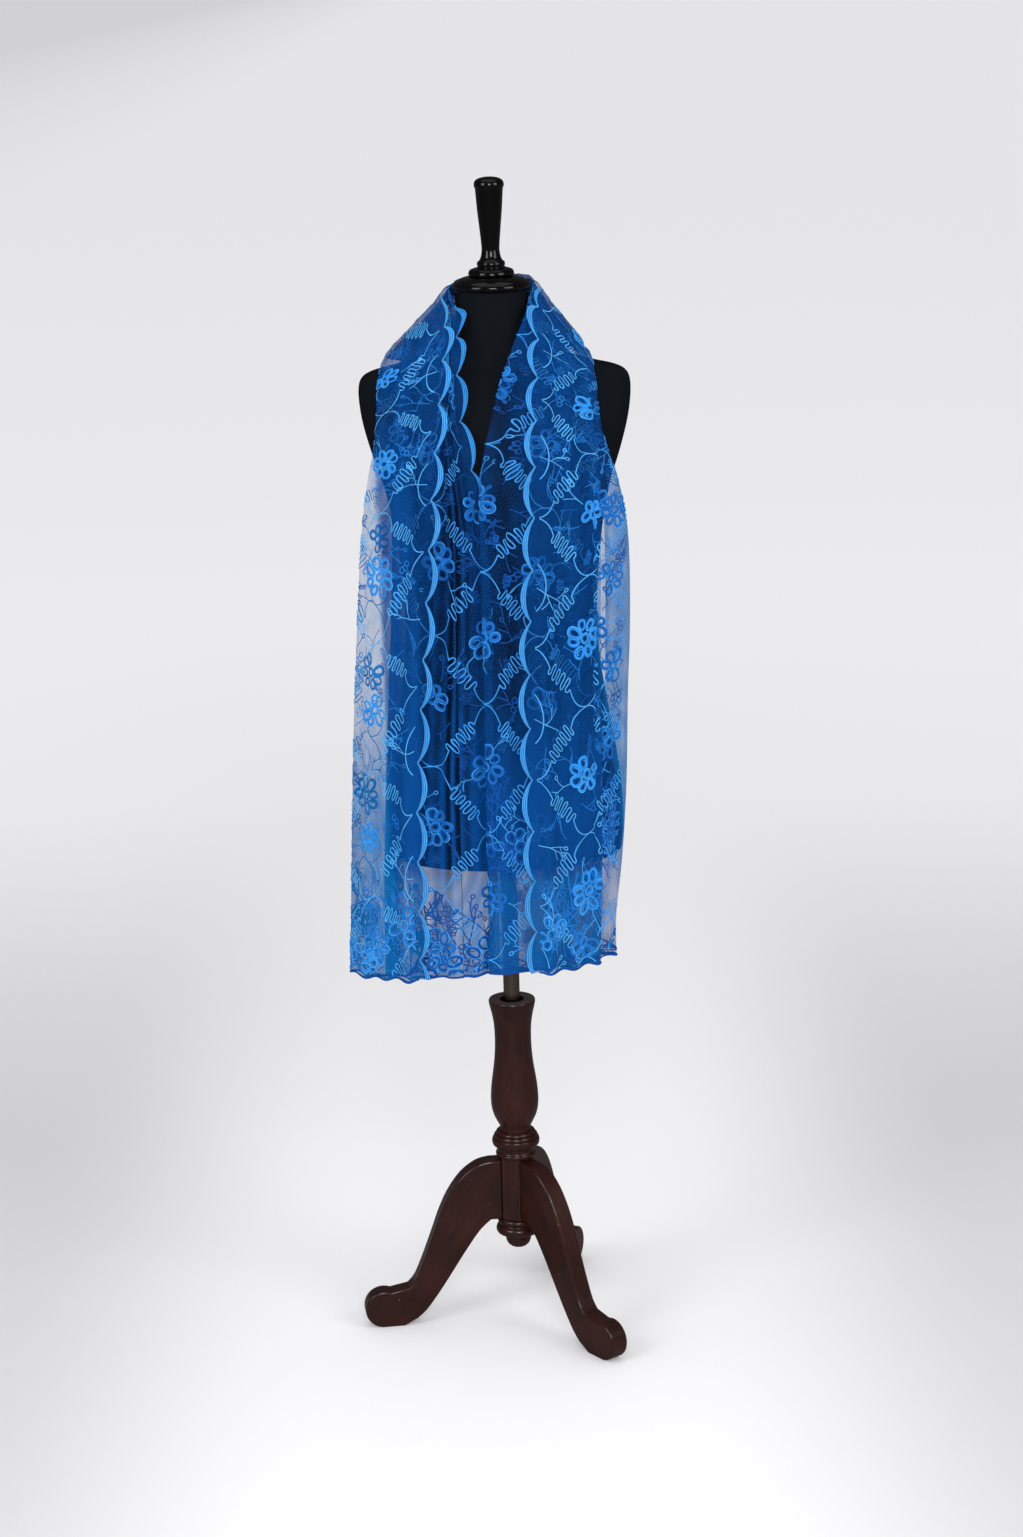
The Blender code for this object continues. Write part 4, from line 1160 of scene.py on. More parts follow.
# %% The sides of the trellis
CELL_WIDTH = 0.160
CELL_HEIGHT = 2.5 * SCALLOP_PITCH
CORD_RADIUS = 0.00072
ZIGZAG_LOOPS, ZIGZAG_WIDTH = 5.0, 0.0205
ZIGZAG_SLANT, ZIGZAG_BULB = 0.30, 0.70
chance = random.Random(11)


def bend(points, count):
    """A Bezier curve through four control points, as a line of points."""
    a, b, c, d = (np.array(point, float) for point in points)
    t = np.linspace(0.0, 1.0, count)[:, None]
    return a * (1 - t) ** 3 + 3 * b * t * (1 - t) ** 2 + 3 * c * t ** 2 * (1 - t) + d * t ** 3


def zigzag(start, end, slant, loops=ZIGZAG_LOOPS, width=ZIGZAG_WIDTH, steps=15):
    """Hairpin loops with round ends from start to end, wider in the middle and never quite even."""
    start, end = np.array(start), np.array(end)
    run = end - start
    length = float(np.linalg.norm(run))
    way = run / length
    loops = loops + chance.choice((-0.5, 0.0, 0.0, 0.5))
    turn = np.linspace(0.0, 2 * np.pi * loops, round(loops * steps) + 1)
    step = length / (2 * np.pi * loops)
    along = turn * step - ZIGZAG_BULB * step * np.sin(2 * turn)
    along = along + 0.30 * step * np.sin(0.61 * turn + chance.uniform(0, 6))
    halves = np.arange(2 * math.ceil(loops) + 2)
    heights = np.array([chance.uniform(0.72, 1.10) for half in halves])
    swell = np.minimum(1.0, 0.50 + 1.1 * np.sin(np.pi * turn / turn[-1]) ** 0.8)
    aside = width / 2 * np.sin(turn) * swell * np.interp(turn / np.pi, halves, heights)
    cross = np.array([-way[1], way[0]])
    cross = cross + np.array([0.0, 1.0]) * np.sign(cross[1]) * slant
    cross = cross / np.linalg.norm(cross)
    return start + way * along[:, None] + cross * aside[:, None]


def trellis_side(sheet, node, down):
    """One side of a diamond: a bend, a zigzag and a bend, going outwards and up or down."""
    x, y = node
    half = CELL_HEIGHT / 2 * down
    wide = CELL_WIDTH / 2

    def at(across, along):
        return sheet.lean((x + wide * across, y + half * along))

    jog = chance.uniform(-0.02, 0.02)
    first, second = (0.30 + jog, 0.29 + jog), (0.70 + jog, 0.70 + jog)
    leaving = bend((at(0, 0), at(0.16, 0.01), at(0.24, 0.12), at(*first)), 9)
    middle = zigzag(at(*first), at(*second), ZIGZAG_SLANT)
    arriving = bend((at(*second), at(0.74, 0.86), at(0.82, 0.985), at(1.0, 1.0)), 9)
    return [Thread(leaving, CORD_RADIUS * 0.9, False), Thread(middle, CORD_RADIUS, False),
            Thread(arriving, CORD_RADIUS * 0.9, False)]


print("a diamond is", CELL_WIDTH, "by", round(CELL_HEIGHT, 4), "m")

# %% [markdown]
# ## Flowers, sprigs and buds
# In the middle of each diamond is an open flower of six to eight looped petals, padded with thick cord, with
# thin sprigs and buds round it. A petal is an egg-shaped ring, and a sprig is a short curve that may fork.

# %% Flowers, sprigs and buds
PETAL_CORD, TWIG_RADIUS = 0.0020, 0.00052
FLOWER_REACH, PETAL_REACH, PETAL_BREADTH = 0.0163, 0.0078, 0.0056
TWIG_START, BUD_REACH = 0.026, 0.0085
Drawn = namedtuple("Drawn", "petals cords sprigs")


def off_by(centre, reach, angle):
    """The point at this distance and in this direction from the centre."""
    return centre[0] + reach * math.cos(angle), centre[1] + reach * math.sin(angle)


def loop(centre, reach, breadth, angle, radius, count=12):
    """A closed egg-shaped ring of thread."""
    turn = np.linspace(0.0, 2 * np.pi, count, endpoint=False)
    out = reach * np.cos(turn)
    side = breadth * np.sin(turn) * (1 + 0.18 * np.cos(turn))
    c, k = math.cos(angle), math.sin(angle)
    points = np.stack([centre[0] + out * c - side * k, centre[1] + out * k + side * c], 1)
    return Thread(points, radius, True)


def twig(start, angle, length, threads, forks=1):
    """A thin curved sprig with a fork or two and now and then a bud."""
    curl = chance.uniform(-0.9, 0.9)
    t = np.linspace(0.0, 1.0, 6)
    heading = angle + curl * t
    steps = np.stack([np.cos(heading), np.sin(heading)], 1) * length / 5
    points = np.array(start) + np.concatenate([[[0.0, 0.0]], np.cumsum(steps[1:], 0)])
    threads.append(Thread(points, TWIG_RADIUS, False))
    end = float(heading[-1])
    if forks:
        twig(points[2], angle + chance.choice((-0.8, 0.8)), length * 0.6, threads, forks - 1)
        if chance.random() < 0.5:
            twig(points[4], end + chance.choice((-0.7, 0.7)), length * 0.4, threads, 0)
    if chance.random() < 0.35:
        threads.append(loop(off_by(points[-1], 0.003, end), 0.0030, 0.0022, end, TWIG_RADIUS * 1.4, 8))


def flower(centre, drawn):
    """A flower of padded looped petals that touch each other round a ring; some have a bright outline."""
    count = chance.choice((6, 7, 8, 8))
    first = chance.uniform(0.0, 2 * math.pi)
    grown = chance.uniform(0.90, 1.12)
    missing = chance.choice((None, None, 0, 1))
    far = FLOWER_REACH * grown * count / 7.6
    drawn.petals.append(loop(centre, 0.0058, 0.0052, first, PETAL_CORD, 12))
    drawn.cords.append(loop(centre, 0.0070, 0.0064, first, TWIG_RADIUS, 14))
    for k in range(count):
        if k == missing:
            continue
        angle = first + 2 * math.pi * (k + chance.uniform(-0.16, 0.16)) / count
        size = grown * chance.uniform(0.78, 1.12)
        place = off_by(centre, far * chance.uniform(0.92, 1.08), angle)
        turn = angle + chance.uniform(-0.4, 0.4)
        cord = PETAL_CORD * chance.uniform(0.7, 1.25)
        drawn.petals.append(loop(place, PETAL_REACH * size, PETAL_BREADTH * size, turn, cord, 14))
        if chance.random() < 0.5:
            drawn.cords.append(loop(place, 0.0094 * size, 0.0072 * size, turn, TWIG_RADIUS * 1.1, 14))
        if chance.random() < 0.35:
            curl = loop(place, 0.0044 * size, 0.0026 * size, turn, TWIG_RADIUS, 10)
            drawn.cords.append(Thread(curl.points[:7], TWIG_RADIUS, False))
    for k in range(chance.choice((3, 4, 4, 5))):
        angle = first + 2 * math.pi * (k + chance.uniform(0.2, 0.8)) / 5
        start = off_by(centre, TWIG_START * grown, angle)
        twig(start, angle, chance.uniform(0.020, 0.034), drawn.cords if k % 2 else drawn.sprigs)


def bud_spray(centre, threads):
    """A small spray of three looped buds on a curved stem, between the flowers and the trellis."""
    angle = chance.uniform(0.0, 2 * math.pi)
    for k in (-1, 0, 1):
        turn = angle + 0.75 * k
        threads.append(loop(off_by(centre, BUD_REACH, turn), 0.0042, 0.0032, turn, TWIG_RADIUS * 1.5, 9))
    twig(centre, angle + math.pi, 0.024, threads, 0)


def filling(heart, threads):
    """Fine faint sprigs and scribbles of thread that fill the ground of a diamond round its flower."""
    for k in range(6):
        angle = math.pi * (k + chance.uniform(-0.3, 0.3)) / 3
        start = (heart[0] + chance.uniform(0.030, 0.048) * math.cos(angle),
                 heart[1] + chance.uniform(0.030, 0.056) * math.sin(angle))
        twig(start, chance.uniform(0.0, 2 * math.pi), chance.uniform(0.022, 0.040), threads, 1)
    for k in range(2):
        angle = chance.uniform(0.0, 2 * math.pi)
        start = (heart[0] + 0.040 * math.cos(angle), heart[1] + 0.048 * math.sin(angle))
        end = off_by(start, 0.018, chance.uniform(0.7, 2.3))
        threads.append(Thread(zigzag(start, end, 0.0, 3.0, 0.0125, 10), TWIG_RADIUS, False))


print("a flower is about", round(2 * (FLOWER_REACH + PETAL_REACH), 3), "m across")

# %% [markdown]
# ## The whole pattern
# The diamonds are repeated over a sheet, each with its own flower. Close sprays and more flowers rise from
# the hems, and a row of flowers runs down the outer fold of the right stretch, where the net shows against
# the light.

# %% The whole pattern
HEM_SPRAY_RADIUS = 0.00085
HEM_SPRAY_PITCH, HEM_FLOWER_PITCH = 0.0095, 0.046
FOLD_FLOWERS, FOLD_FLOWER_X, FOLD_FLOWER_PITCH = 7, 0.190, 0.104


def hem_garden(sheet, end, drawn):
    """Close branching sprays that rise from the hem at this end of the sheet, and flowers among them."""
    low, high = sheet.reaches[0 if end < 0 else 1]
    up = 1 if end < 0 else -1
    for k in range(round((high - low) / HEM_SPRAY_PITCH)):
        x = low + HEM_SPRAY_PITCH * (k + chance.uniform(0.1, 0.9))
        y = end + up * (0.004 + chance.uniform(0.0, 0.085))
        made = []
        heading = up * math.pi / 2 + chance.uniform(-0.5, 0.5)
        twig((x, y), heading, chance.uniform(0.045, 0.080), made, 2)
        drawn.sprigs.extend(Thread(thread.points, HEM_SPRAY_RADIUS, thread.closed) for thread in made)
        if k % 2 == 0:
            bud_spray((x, y + up * chance.uniform(0.01, 0.05)), drawn.sprigs)
    faint = Drawn(drawn.sprigs, drawn.cords, drawn.sprigs)
    for k in range(round((high - low) / HEM_FLOWER_PITCH)):
        x = low + HEM_FLOWER_PITCH * (k + chance.uniform(0.25, 0.75))
        flower((x, end + up * chance.uniform(0.022, 0.085)), faint)


def fold_flowers(end, drawn):
    """Flowers and sprigs along the outer fold of the right stretch, up from the hem at this end."""
    for k in range(FOLD_FLOWERS):
        y = end - 0.085 - FOLD_FLOWER_PITCH * k
        centre = FOLD_FLOWER_X + chance.uniform(-0.006, 0.006), y + chance.uniform(-0.012, 0.012)
        flower(centre, drawn)
        twig((0.214, y + 0.052), math.pi + chance.uniform(-0.6, 0.6), 0.045, drawn.cords, 2)
        bud_spray((0.200, y + 0.055 + chance.uniform(-0.01, 0.01)), drawn.petals)


def pattern(sheet, columns, low, high):
    """The trellis and its flowers on a sheet, from low to high along it: petals, cords and faint sprigs."""
    drawn = Drawn([], [], [])
    for column in range(columns[0], columns[1] + 1):
        x = CELL_WIDTH / 2 * column
        phase = (column % 2) / 2
        for number in range(math.floor(low / CELL_HEIGHT) - 1, math.ceil(high / CELL_HEIGHT) + 1):
            node = (x, CELL_HEIGHT * (number + phase))
            drawn.cords.extend(trellis_side(sheet, node, 1) + trellis_side(sheet, node, -1))
            heart = sheet.lean((x + chance.uniform(-0.006, 0.006),
                                node[1] + CELL_HEIGHT / 2 + chance.uniform(-0.006, 0.006)))
            if column or columns[0] < 0:
                flower(heart, drawn)
            else:
                twig((0.004, heart[1]), chance.uniform(-0.5, 0.5), 0.040, drawn.cords, 2)
                if chance.random() < 0.6:
                    corners = ((0.0, -0.034), (0.022, -0.022), (0.022, 0.022), (0.0, 0.034))
                    bow = bend([(across, heart[1] + along) for across, along in corners], 15)
                    drawn.cords.append(Thread(bow, TWIG_RADIUS * 1.3, False))
            filling(heart, drawn.sprigs)
            if chance.random() < 0.55:
                bud_spray(sheet.lean((x + CELL_WIDTH * 0.25, node[1])), drawn.sprigs)
    return drawn


print("flowers along the outer fold:", FOLD_FLOWERS)

# %% [markdown]
# ## The thread's colour
# Embroidery thread is smoother than net, so it is shinier and has a soft blue sheen of its own. Cords are
# the palest, petals deeper and fine sprigs the deepest. The under sheet has a darker copy of each: painted
# shade for being seen through the sheet in front. Noise makes the colour patchy and ribs the surface.

# %% Thread materials
def noise(nodes, where, *settings):
    """Noise at these places, of this scale, detail and roughness."""
    return add_node(nodes, "ShaderNodeTexNoise", (where, None, *settings)).outputs["Fac"]


def add_bump(nodes, shader, height, strength, distance):
    """Fine relief of this height on the shader's surface."""
    bump = add_node(nodes, "ShaderNodeBump")
    bump.inputs["Strength"].default_value = strength
    bump.inputs["Distance"].default_value = distance
    plug(height, bump.inputs["Height"])
    plug(bump.outputs[0], shader.inputs["Normal"])


def thread_material(name, colour, roughness):
    """Shiny thread, its colour a little uneven and its surface ribbed by the stitches."""
    made, nodes, shader = new_material(
        name, Base_Color=colour, Roughness=roughness,
        Specular_IOR_Level=0.22, Specular_Tint=(0.45, 0.75, 1.0, 1.0),
        Sheen_Weight=0.32, Sheen_Roughness=0.35, Sheen_Tint=(0.22, 0.62, 1.0, 1.0))
    where = own_place(nodes)
    dark, bright = ([min(c * gain, 1.0) for c in colour[:3]] + [1.0] for gain in (0.62, 1.35))
    plug(blend(nodes, noise(nodes, where, 60.0, 2.0), dark, bright), shader.inputs["Base Color"])
    add_bump(nodes, shader, noise(nodes, where, 900.0, 1.0), 0.35, 0.0005)
    return made


THREADS = {
    "front": Drawn(petals=thread_material("petal_thread", (0.020, 0.240, 0.720, 1.0), 0.40),
                   cords=thread_material("cord_thread", (0.080, 0.400, 1.000, 1.0), 0.36),
                   sprigs=thread_material("sprig_thread", (0.010, 0.165, 0.560, 1.0), 0.42)),
    # the under sheet's threads are darker copies: painted shade for lying under the front sheet
    "under": Drawn(petals=thread_material("shaded_petal_thread", (0.006, 0.120, 0.460, 1.0), 0.45),
                   cords=thread_material("shaded_cord_thread", (0.040, 0.300, 0.840, 1.0), 0.42),
                   sprigs=thread_material("shaded_sprig_thread", (0.002, 0.070, 0.330, 1.0), 0.45)),
}
STRANDS = 3


def satin_material(name, colour, groove_shade_colour):
    """Satin stitch over a few strands of cord: bright strands, with painted shade in the grooves between
    them.
    """
    made = thread_material(name, colour, 0.34)
    nodes = made.node_tree.nodes
    # the dark colour is painted shade, laid where the ribbon's strands leave grooves
    turn = maths(nodes, "MULTIPLY", painted(nodes, "strand"), 2 * math.pi * STRANDS)
    fill = ramp(nodes, maths(nodes, "COSINE", turn), -0.35, 0.65, 1.0, 0.0)
    tint = nodes["Principled BSDF"].inputs["Base Color"]
    plug(blend(nodes, fill, groove_shade_colour, tint.links[0].from_socket), tint)
    return made


# each satin's second colour is the painted shade for its grooves
satin_thread = satin_material("satin_thread", (0.070, 0.370, 0.920, 1.0), (0.003, 0.110, 0.430, 1.0))
# the under sheet's satin is a darker copy too: painted shade for lying under the front sheet
shaded_satin_thread = satin_material("shaded_satin_thread", (0.030, 0.300, 0.820, 1.0),
                                   (0.002, 0.080, 0.330, 1.0))
hem_thread = thread_material("hem_thread", (0.002, 0.055, 0.320, 1.0), 0.5)
print("threads:", [made.name for kinds in THREADS.values() for made in kinds])

# %% [markdown]
# ## From the flat drawing to the drape
# Each sheet's pattern is drawn in one go, from hem to hem. Then it is sorted by stretch, because a shared
# part is easier to use when each stretch has its own pieces. Petals, cords and sprigs are kept apart too,
# since each has its own thread.

# %% Carry the pattern onto the sheets
low_end = scallops_at(0.0) * SCALLOP_PITCH
high_end = scallops_at(SHEET_LENGTH) * SCALLOP_PITCH
PATTERN_ROOM = 0.1
stitched = {}
for sheet_name, sheet, columns in (("front", front_sheet, (0, 2)), ("under", under_sheet, (-3, 3))):
    drawn = pattern(sheet, columns, low_end - PATTERN_ROOM, high_end + PATTERN_ROOM)
    hem_garden(sheet, low_end, drawn)
    hem_garden(sheet, high_end, drawn)
    if sheet is under_sheet:
        fold_flowers(high_end, drawn)
    for kind, threads, material in zip(Drawn._fields, drawn, THREADS[sheet_name]):
        for place_name, chosen in zip(("left", "neck", "right"), clipped(sheet, threads)):
            name = f"{place_name}_{sheet_name}_{kind}"
            lift = THREAD_LIFT * (2 if kind == "cords" else 1)
            mesh = thread_mesh(name, sheet, chosen, lift)
            stitched[name] = add_piece(name, mesh, material)
            print(name, "has", len(chosen), "threads and", len(mesh.polygons), "faces")

# %% [markdown]
# ## Scalloped satin and rolled hems
# The satin crescents are one long ribbon that swells and thins with the scallops. Its rounded top has
# ridges along it, one for each strand of cord under the stitches. The hems are rolled, so each is a cord
# that follows the folded end of the cloth, with two thinner rows above it.

# %% The satin ribbon and the hems
RIBBON_ROWS, RIBBON_COLUMNS = 22, 12
RIBBON_HEIGHT, STRAND_HEIGHT = 0.0011, 0.00022
RIBBON_THICKNESS = 0.0005
HEM_RADIUS, HEM_RISE, HEM_POINT_STEP = 0.0016, 0.013, 0.0022


def satin_ribbon(name, sheet, low, high, size, shift, far_edge, material, replaces):
    """The ribbon of crescents along one edge of a sheet, from low to high along it."""
    start, end = scallops_at(low), scallops_at(high)
    counts = np.linspace(start, end, round((end - start) * RIBBON_ROWS))
    rows = np.clip(place_of(counts), low, high)
    mesh, row, column = flat_grid(name, RIBBON_COLUMNS, len(rows) - 1)
    v = rows[row]
    share = column / RIBBON_COLUMNS
    width = satin_width(v, size(v), shift)
    off = scallop_reach(v, size(v), shift) - width * share
    dome = np.sqrt(np.maximum(1 - (2 * share - 1) ** 2, 0.0)) * np.minimum(width / 0.005, 1.0)
    strands = -STRAND_HEIGHT * np.cos(2 * np.pi * STRANDS * share) * np.minimum(width / SATIN_WIDTH, 1.0)
    u = sheet.width_at(v) + off if far_edge else -off
    set_points(mesh, sheet.place(u, v, THREAD_LIFT + RIBBON_HEIGHT * dome + strands))
    set_uv(mesh, off, v)
    # the share across places the strands' ridges and the painted shade in the grooves between them
    set_values(mesh, "strand", share)
    mesh.flip_normals()
    made = add_piece(name, mesh, material, replaces)
    wall = made.modifiers.new("thickness", "SOLIDIFY")
    wall.thickness = RIBBON_THICKNESS
    return made


front_ribbon = satin_ribbon("front_satin_edge", front_sheet, 0.0, SHEET_LENGTH, scallop_size, 0.0, False,
                            satin_thread, ("left_front_border", "right_front_border"))
under_ribbon = satin_ribbon("under_satin_edge", under_sheet, LEFT_LENGTH - UNDER_BORDER_LOW,
                            LEFT_LENGTH - UNDER_BORDER_TOP + UNDER_SOFT_TOP, under_size, UNDER_SHIFT, True,
                            shaded_satin_thread, ("left_under_border",))


def hem_cord(name, patch, end, rises, seed):
    """The rolled hem of a patch: one cord for each rise, each waving a little above the last row."""
    width = float(patch.width[end])
    u = np.linspace(0.0, width, round(width / HEM_POINT_STEP))
    lines = []
    for k, rise in enumerate(rises):
        wave = 0.5 + 0.3 * np.sin(u / 0.019 + seed + k) + 0.2 * np.sin(u / 0.0083 + 2.1 * seed + k)
        line = patch.place(u, patch.v[end] + (rise if end == 0 else -rise) * wave)
        radius = HEM_RADIUS * (0.55 if k else 1.0) * (1 + 0.25 * np.sin(u / 0.011 + seed))
        lines.append((line, radius, False))
    return add_piece(name, cord_mesh(name, lines, bevel_resolution=1), hem_thread)


HEMMED = (("left_front", left_front, 0), ("left_under", left_under, 0),
          ("right_front", right_front, -1), ("right_middle", right_middle, -1))
hems = {}
for seed, (name, patch, end) in enumerate(HEMMED):
    hems[name] = hem_cord(name + "_hem", patch, end, (0.0, HEM_RISE, 2 * HEM_RISE), 1.7 * seed)
print("hems:", list(hems))

# %% [markdown]
# ## The dress form
# The torso is a padded shell under stretched black jersey, with a flat base. Its rings have one width and
# two depths, for the chest and for the back, so a plain spin can't make it: a grid is wrapped round the
# rings, its seam is merged and its ends are filled. Jersey is matt, with a fine knit that only shows close
# up, so that is bump. The turned neck cap and the handle are black lacquer, which is all gloss.

# %% The padded torso
TORSO_SIDES, TORSO_ROWS = 96, 110
MERGE_DISTANCE = 0.00002
BASE_ROUND, BASE_LIMIT = 0.004, 0.8
jersey, nodes, shader = new_material("black_jersey", Base_Color=(0.0045, 0.0060, 0.0085, 1.0),
                                     Roughness=0.85, Specular_IOR_Level=0.05)
add_bump(nodes, shader, noise(nodes, own_place(nodes), 700.0, 3.0), 0.25, 0.0004)
lacquer, nodes, shader = new_material("black_lacquer", Base_Color=(0.0022, 0.0020, 0.0022, 1.0),
                                      Roughness=0.13, Specular_IOR_Level=0.35)
add_bump(nodes, shader, noise(nodes, own_place(nodes), 60.0, 3.0), 0.04, 0.0010)

mesh, row, column = flat_grid("form_torso_jersey", TORSO_SIDES, TORSO_ROWS)
places = row / TORSO_ROWS * (len(TORSO_RINGS) - 1)
ring = Ring(*(spline(values, places) for values in ring_columns))
angle = 2 * np.pi * column / TORSO_SIDES
depth = np.where(np.sin(angle) > 0, ring.back, ring.front)
set_points(mesh, np.stack([ring.half_width * np.cos(angle), depth * np.sin(angle), ring.z], 1))


def close_up(mesh, base_round=0.0):
    """Merge the seam, fill the open ends, round the rim of the base and turn every face outwards."""
    build = bmesh.new()
    build.from_mesh(mesh)
    bmesh.ops.remove_doubles(build, verts=build.verts, dist=MERGE_DISTANCE)
    rims = [edge for edge in build.edges if len(edge.link_faces) == 1]
    filled = bmesh.ops.holes_fill(build, edges=rims, sides=0)["faces"]
    if base_round:
        low = [face for face in filled if face.calc_center_median().z < BASE_LIMIT]
        rim = list({edge for face in low for edge in face.edges})
        bmesh.ops.bevel(build, geom=rim, offset=base_round, segments=3, profile=0.5, affect="EDGES",
                        material=-1)
    bmesh.ops.recalc_face_normals(build, faces=build.faces)
    build.to_mesh(mesh)
    build.free()
    return mesh


close_up(mesh, BASE_ROUND)
torso = add_piece("form_torso_jersey", mesh, jersey, ("form_torso",), 50.0)
print("torso faces:", len(torso.data.polygons))

# %% [markdown]
# ## What counts as cloth
# The five shells of net are the cloth, and for each the flat size of its cut is worked out. The threads,
# hems and satin sewn on it are listed with it, and ride on the same body, so they move with it. The widest
# place and the full length give the cut, and the neck's is the mean of its two sheets, because it is
# gathered.

def sewn_on(place_name, sheet_name, *more):
    """The threads of one sheet at one place, and what else is sewn on there."""
    return [stitched[f"{place_name}_{sheet_name}_{kind}"] for kind in Drawn._fields] + list(more)


Cut = namedtuple("Cut", "name width length pieces")
CUTS = (
    Cut("left_front_net", left_front.width.max(), LEFT_LENGTH,
        sewn_on("left", "front", hems["left_front"], front_ribbon)),
    Cut("left_under_net", left_under.width.max(), LEFT_LENGTH,
        sewn_on("left", "under", hems["left_under"], under_ribbon)),
    Cut("neck_net", neck_front.width.mean() + neck_under.width.mean(), NECK_LENGTH,
        sewn_on("neck", "front", *sewn_on("neck", "under"))),
    Cut("right_front_net", right_front.width.max(), RIGHT_LENGTH,
        sewn_on("right", "front", hems["right_front"])),
    Cut("right_middle_net", right_middle.width.max(), RIGHT_LENGTH,
        sewn_on("right", "under", hems["right_middle"])),
)
for cut in CUTS:
    piece = bpy.data.objects[cut.name]
    shown = sum(face.area for face in piece.data.polygons)
    print(cut.name, "shows", round(shown, 4), "of a cut of", round(cut.width * cut.length, 4), "m2")

# %% [markdown]
# ## Turned on a lathe
# The neck cap, the handle, the baluster post, the rings, the base and the ball were all turned, so each is
# a profile of heights and radii, spun a full turn round the pole's line. The CAD solids were spun from the
# same profiles, so the pieces lie on them. The post has a shallow recess that the pole stands in.

# %% Turned pieces
CAP_PROFILE = (
    (1.4770, 0.0290), (1.4760, 0.0360), (1.4730, 0.0440), (1.4690, 0.0498), (1.4650, 0.0518),
    (1.4618, 0.0510), (1.4593, 0.0480),
)
FINIAL_PROFILE = (
    (1.6055, 0.0060), (1.6040, 0.0130), (1.6010, 0.0180), (1.5970, 0.0197), (1.5930, 0.0196),
    (1.5890, 0.0183), (1.5640, 0.0165), (1.5400, 0.0141), (1.5180, 0.0121), (1.5090, 0.0120),
    (1.5010, 0.0136), (1.4970, 0.0160), (1.4955, 0.0180), (1.4925, 0.0187), (1.4895, 0.0180),
    (1.4885, 0.0190), (1.4870, 0.0240), (1.4850, 0.0285), (1.4810, 0.0303), (1.4785, 0.0300),
    (1.4773, 0.0285),
)
POST_PROFILE = (
    (0.4750, 0.0290), (0.4745, 0.0318), (0.4720, 0.0325), (0.4690, 0.0322), (0.4640, 0.0312),
    (0.4520, 0.0284), (0.4380, 0.0263), (0.4220, 0.0255), (0.4020, 0.0258), (0.3800, 0.0277),
    (0.3560, 0.0312), (0.3420, 0.0328), (0.3280, 0.0335), (0.3160, 0.0328), (0.3050, 0.0303),
    (0.2950, 0.0258), (0.2880, 0.0222), (0.2850, 0.0214), (0.2813, 0.0214),
)
POST_BORE = ((0.4742, 0.0168), (0.4590, 0.0160))
RINGS_PROFILE = (
    (0.2810, 0.0225), (0.2800, 0.0262), (0.2775, 0.0278), (0.2750, 0.0272), (0.2745, 0.0300),
    (0.2720, 0.0310), (0.2700, 0.0306), (0.2695, 0.0325), (0.2650, 0.0336), (0.2600, 0.0325),
    (0.2570, 0.0290), (0.2560, 0.0258), (0.2500, 0.0262), (0.2480, 0.0284), (0.2450, 0.0286),
    (0.2423, 0.0270),
)
BASE_PROFILE = (
    (0.1497, 0.0245), (0.1490, 0.0275), (0.1460, 0.0288), (0.1430, 0.0280), (0.1415, 0.0262),
    (0.1395, 0.0262), (0.1370, 0.0295), (0.1325, 0.0311), (0.1275, 0.0295), (0.1243, 0.0240),
)
BALL_PROFILE = (
    (0.1240, 0.0170), (0.1200, 0.0178), (0.1150, 0.0176), (0.1090, 0.0150), (0.1050, 0.0100),
    (0.1040, 0.0050),
)
TURNED_SIDES, PROFILE_STEPS, TURNED_SMOOTH = 72, 3, 35.0


def set_grain(mesh, rule):
    """Store where each corner lies in its own piece of wood, with the grain along the third number."""
    grain = np.stack(rule(*corners_of(mesh).T), 1).astype(np.float32)
    mesh.attributes.new("grain", "FLOAT_VECTOR", "POINT").data.foreach_set("vector", grain.ravel())


def turned_piece(name, profile, material, slot, replaces, bore=()):
    """A turned piece: its profile, smoothed between the given points, is spun round the pole's line."""
    fine = spline(np.array(profile), np.arange((len(profile) - 1) * PROFILE_STEPS + 1) / PROFILE_STEPS)
    outline = list(reversed(bore)) + [tuple(pair) for pair in fine]
    build = bmesh.new()
    corners = [build.verts.new((max(radius, 0.0), 0.0, z)) for z, radius in outline]
    edges = [build.edges.new(pair) for pair in zip(corners, corners[1:])]
    bmesh.ops.spin(build, geom=corners + edges, cent=(0, 0, 0), axis=(0, 0, 1), angle=2 * math.pi,
                   steps=TURNED_SIDES, use_merge=True)
    mesh = close_up(to_mesh(build, name))
    if slot == "mahogany":
        set_grain(mesh, lambda x, y, z: (x, y, z))
    return add_piece(name, mesh, material, replaces, TURNED_SMOOTH)


turned_piece("neck_cap_lacquer", CAP_PROFILE, lacquer, "black_lacquer", ("neck_cap",))
turned_piece("finial_lacquer", FINIAL_PROFILE, lacquer, "black_lacquer", ("finial",))
print("cap and handle are spun in", TURNED_SIDES, "steps")

# %% [markdown]
# ## Wood and steel
# The tripod is turned and sawn from a dark red wood, stained nearly black and varnished. Long thin noise
# along the grain makes the figure, and each piece stores its own grain direction, since the legs are cut
# from slanting boards. Knocks have gone through the stain in small orange specks, mostly on the legs.
# The pole is plain steel with a dark polish, drawn out lengthwise, so its fine marks are stretched too.

# %% Varnished wood and polished steel
WOOD_DARK = (0.0140, 0.0034, 0.0026, 1.0)
WOOD_RED = (0.0400, 0.0085, 0.0055, 1.0)
WOOD_BARE = (0.33, 0.14, 0.05, 1.0)


def stretched(nodes, where, factors):
    """These places with each of their three numbers multiplied by a factor."""
    return add_node(nodes, "ShaderNodeVectorMath", (where, factors), operation="MULTIPLY").outputs[0]


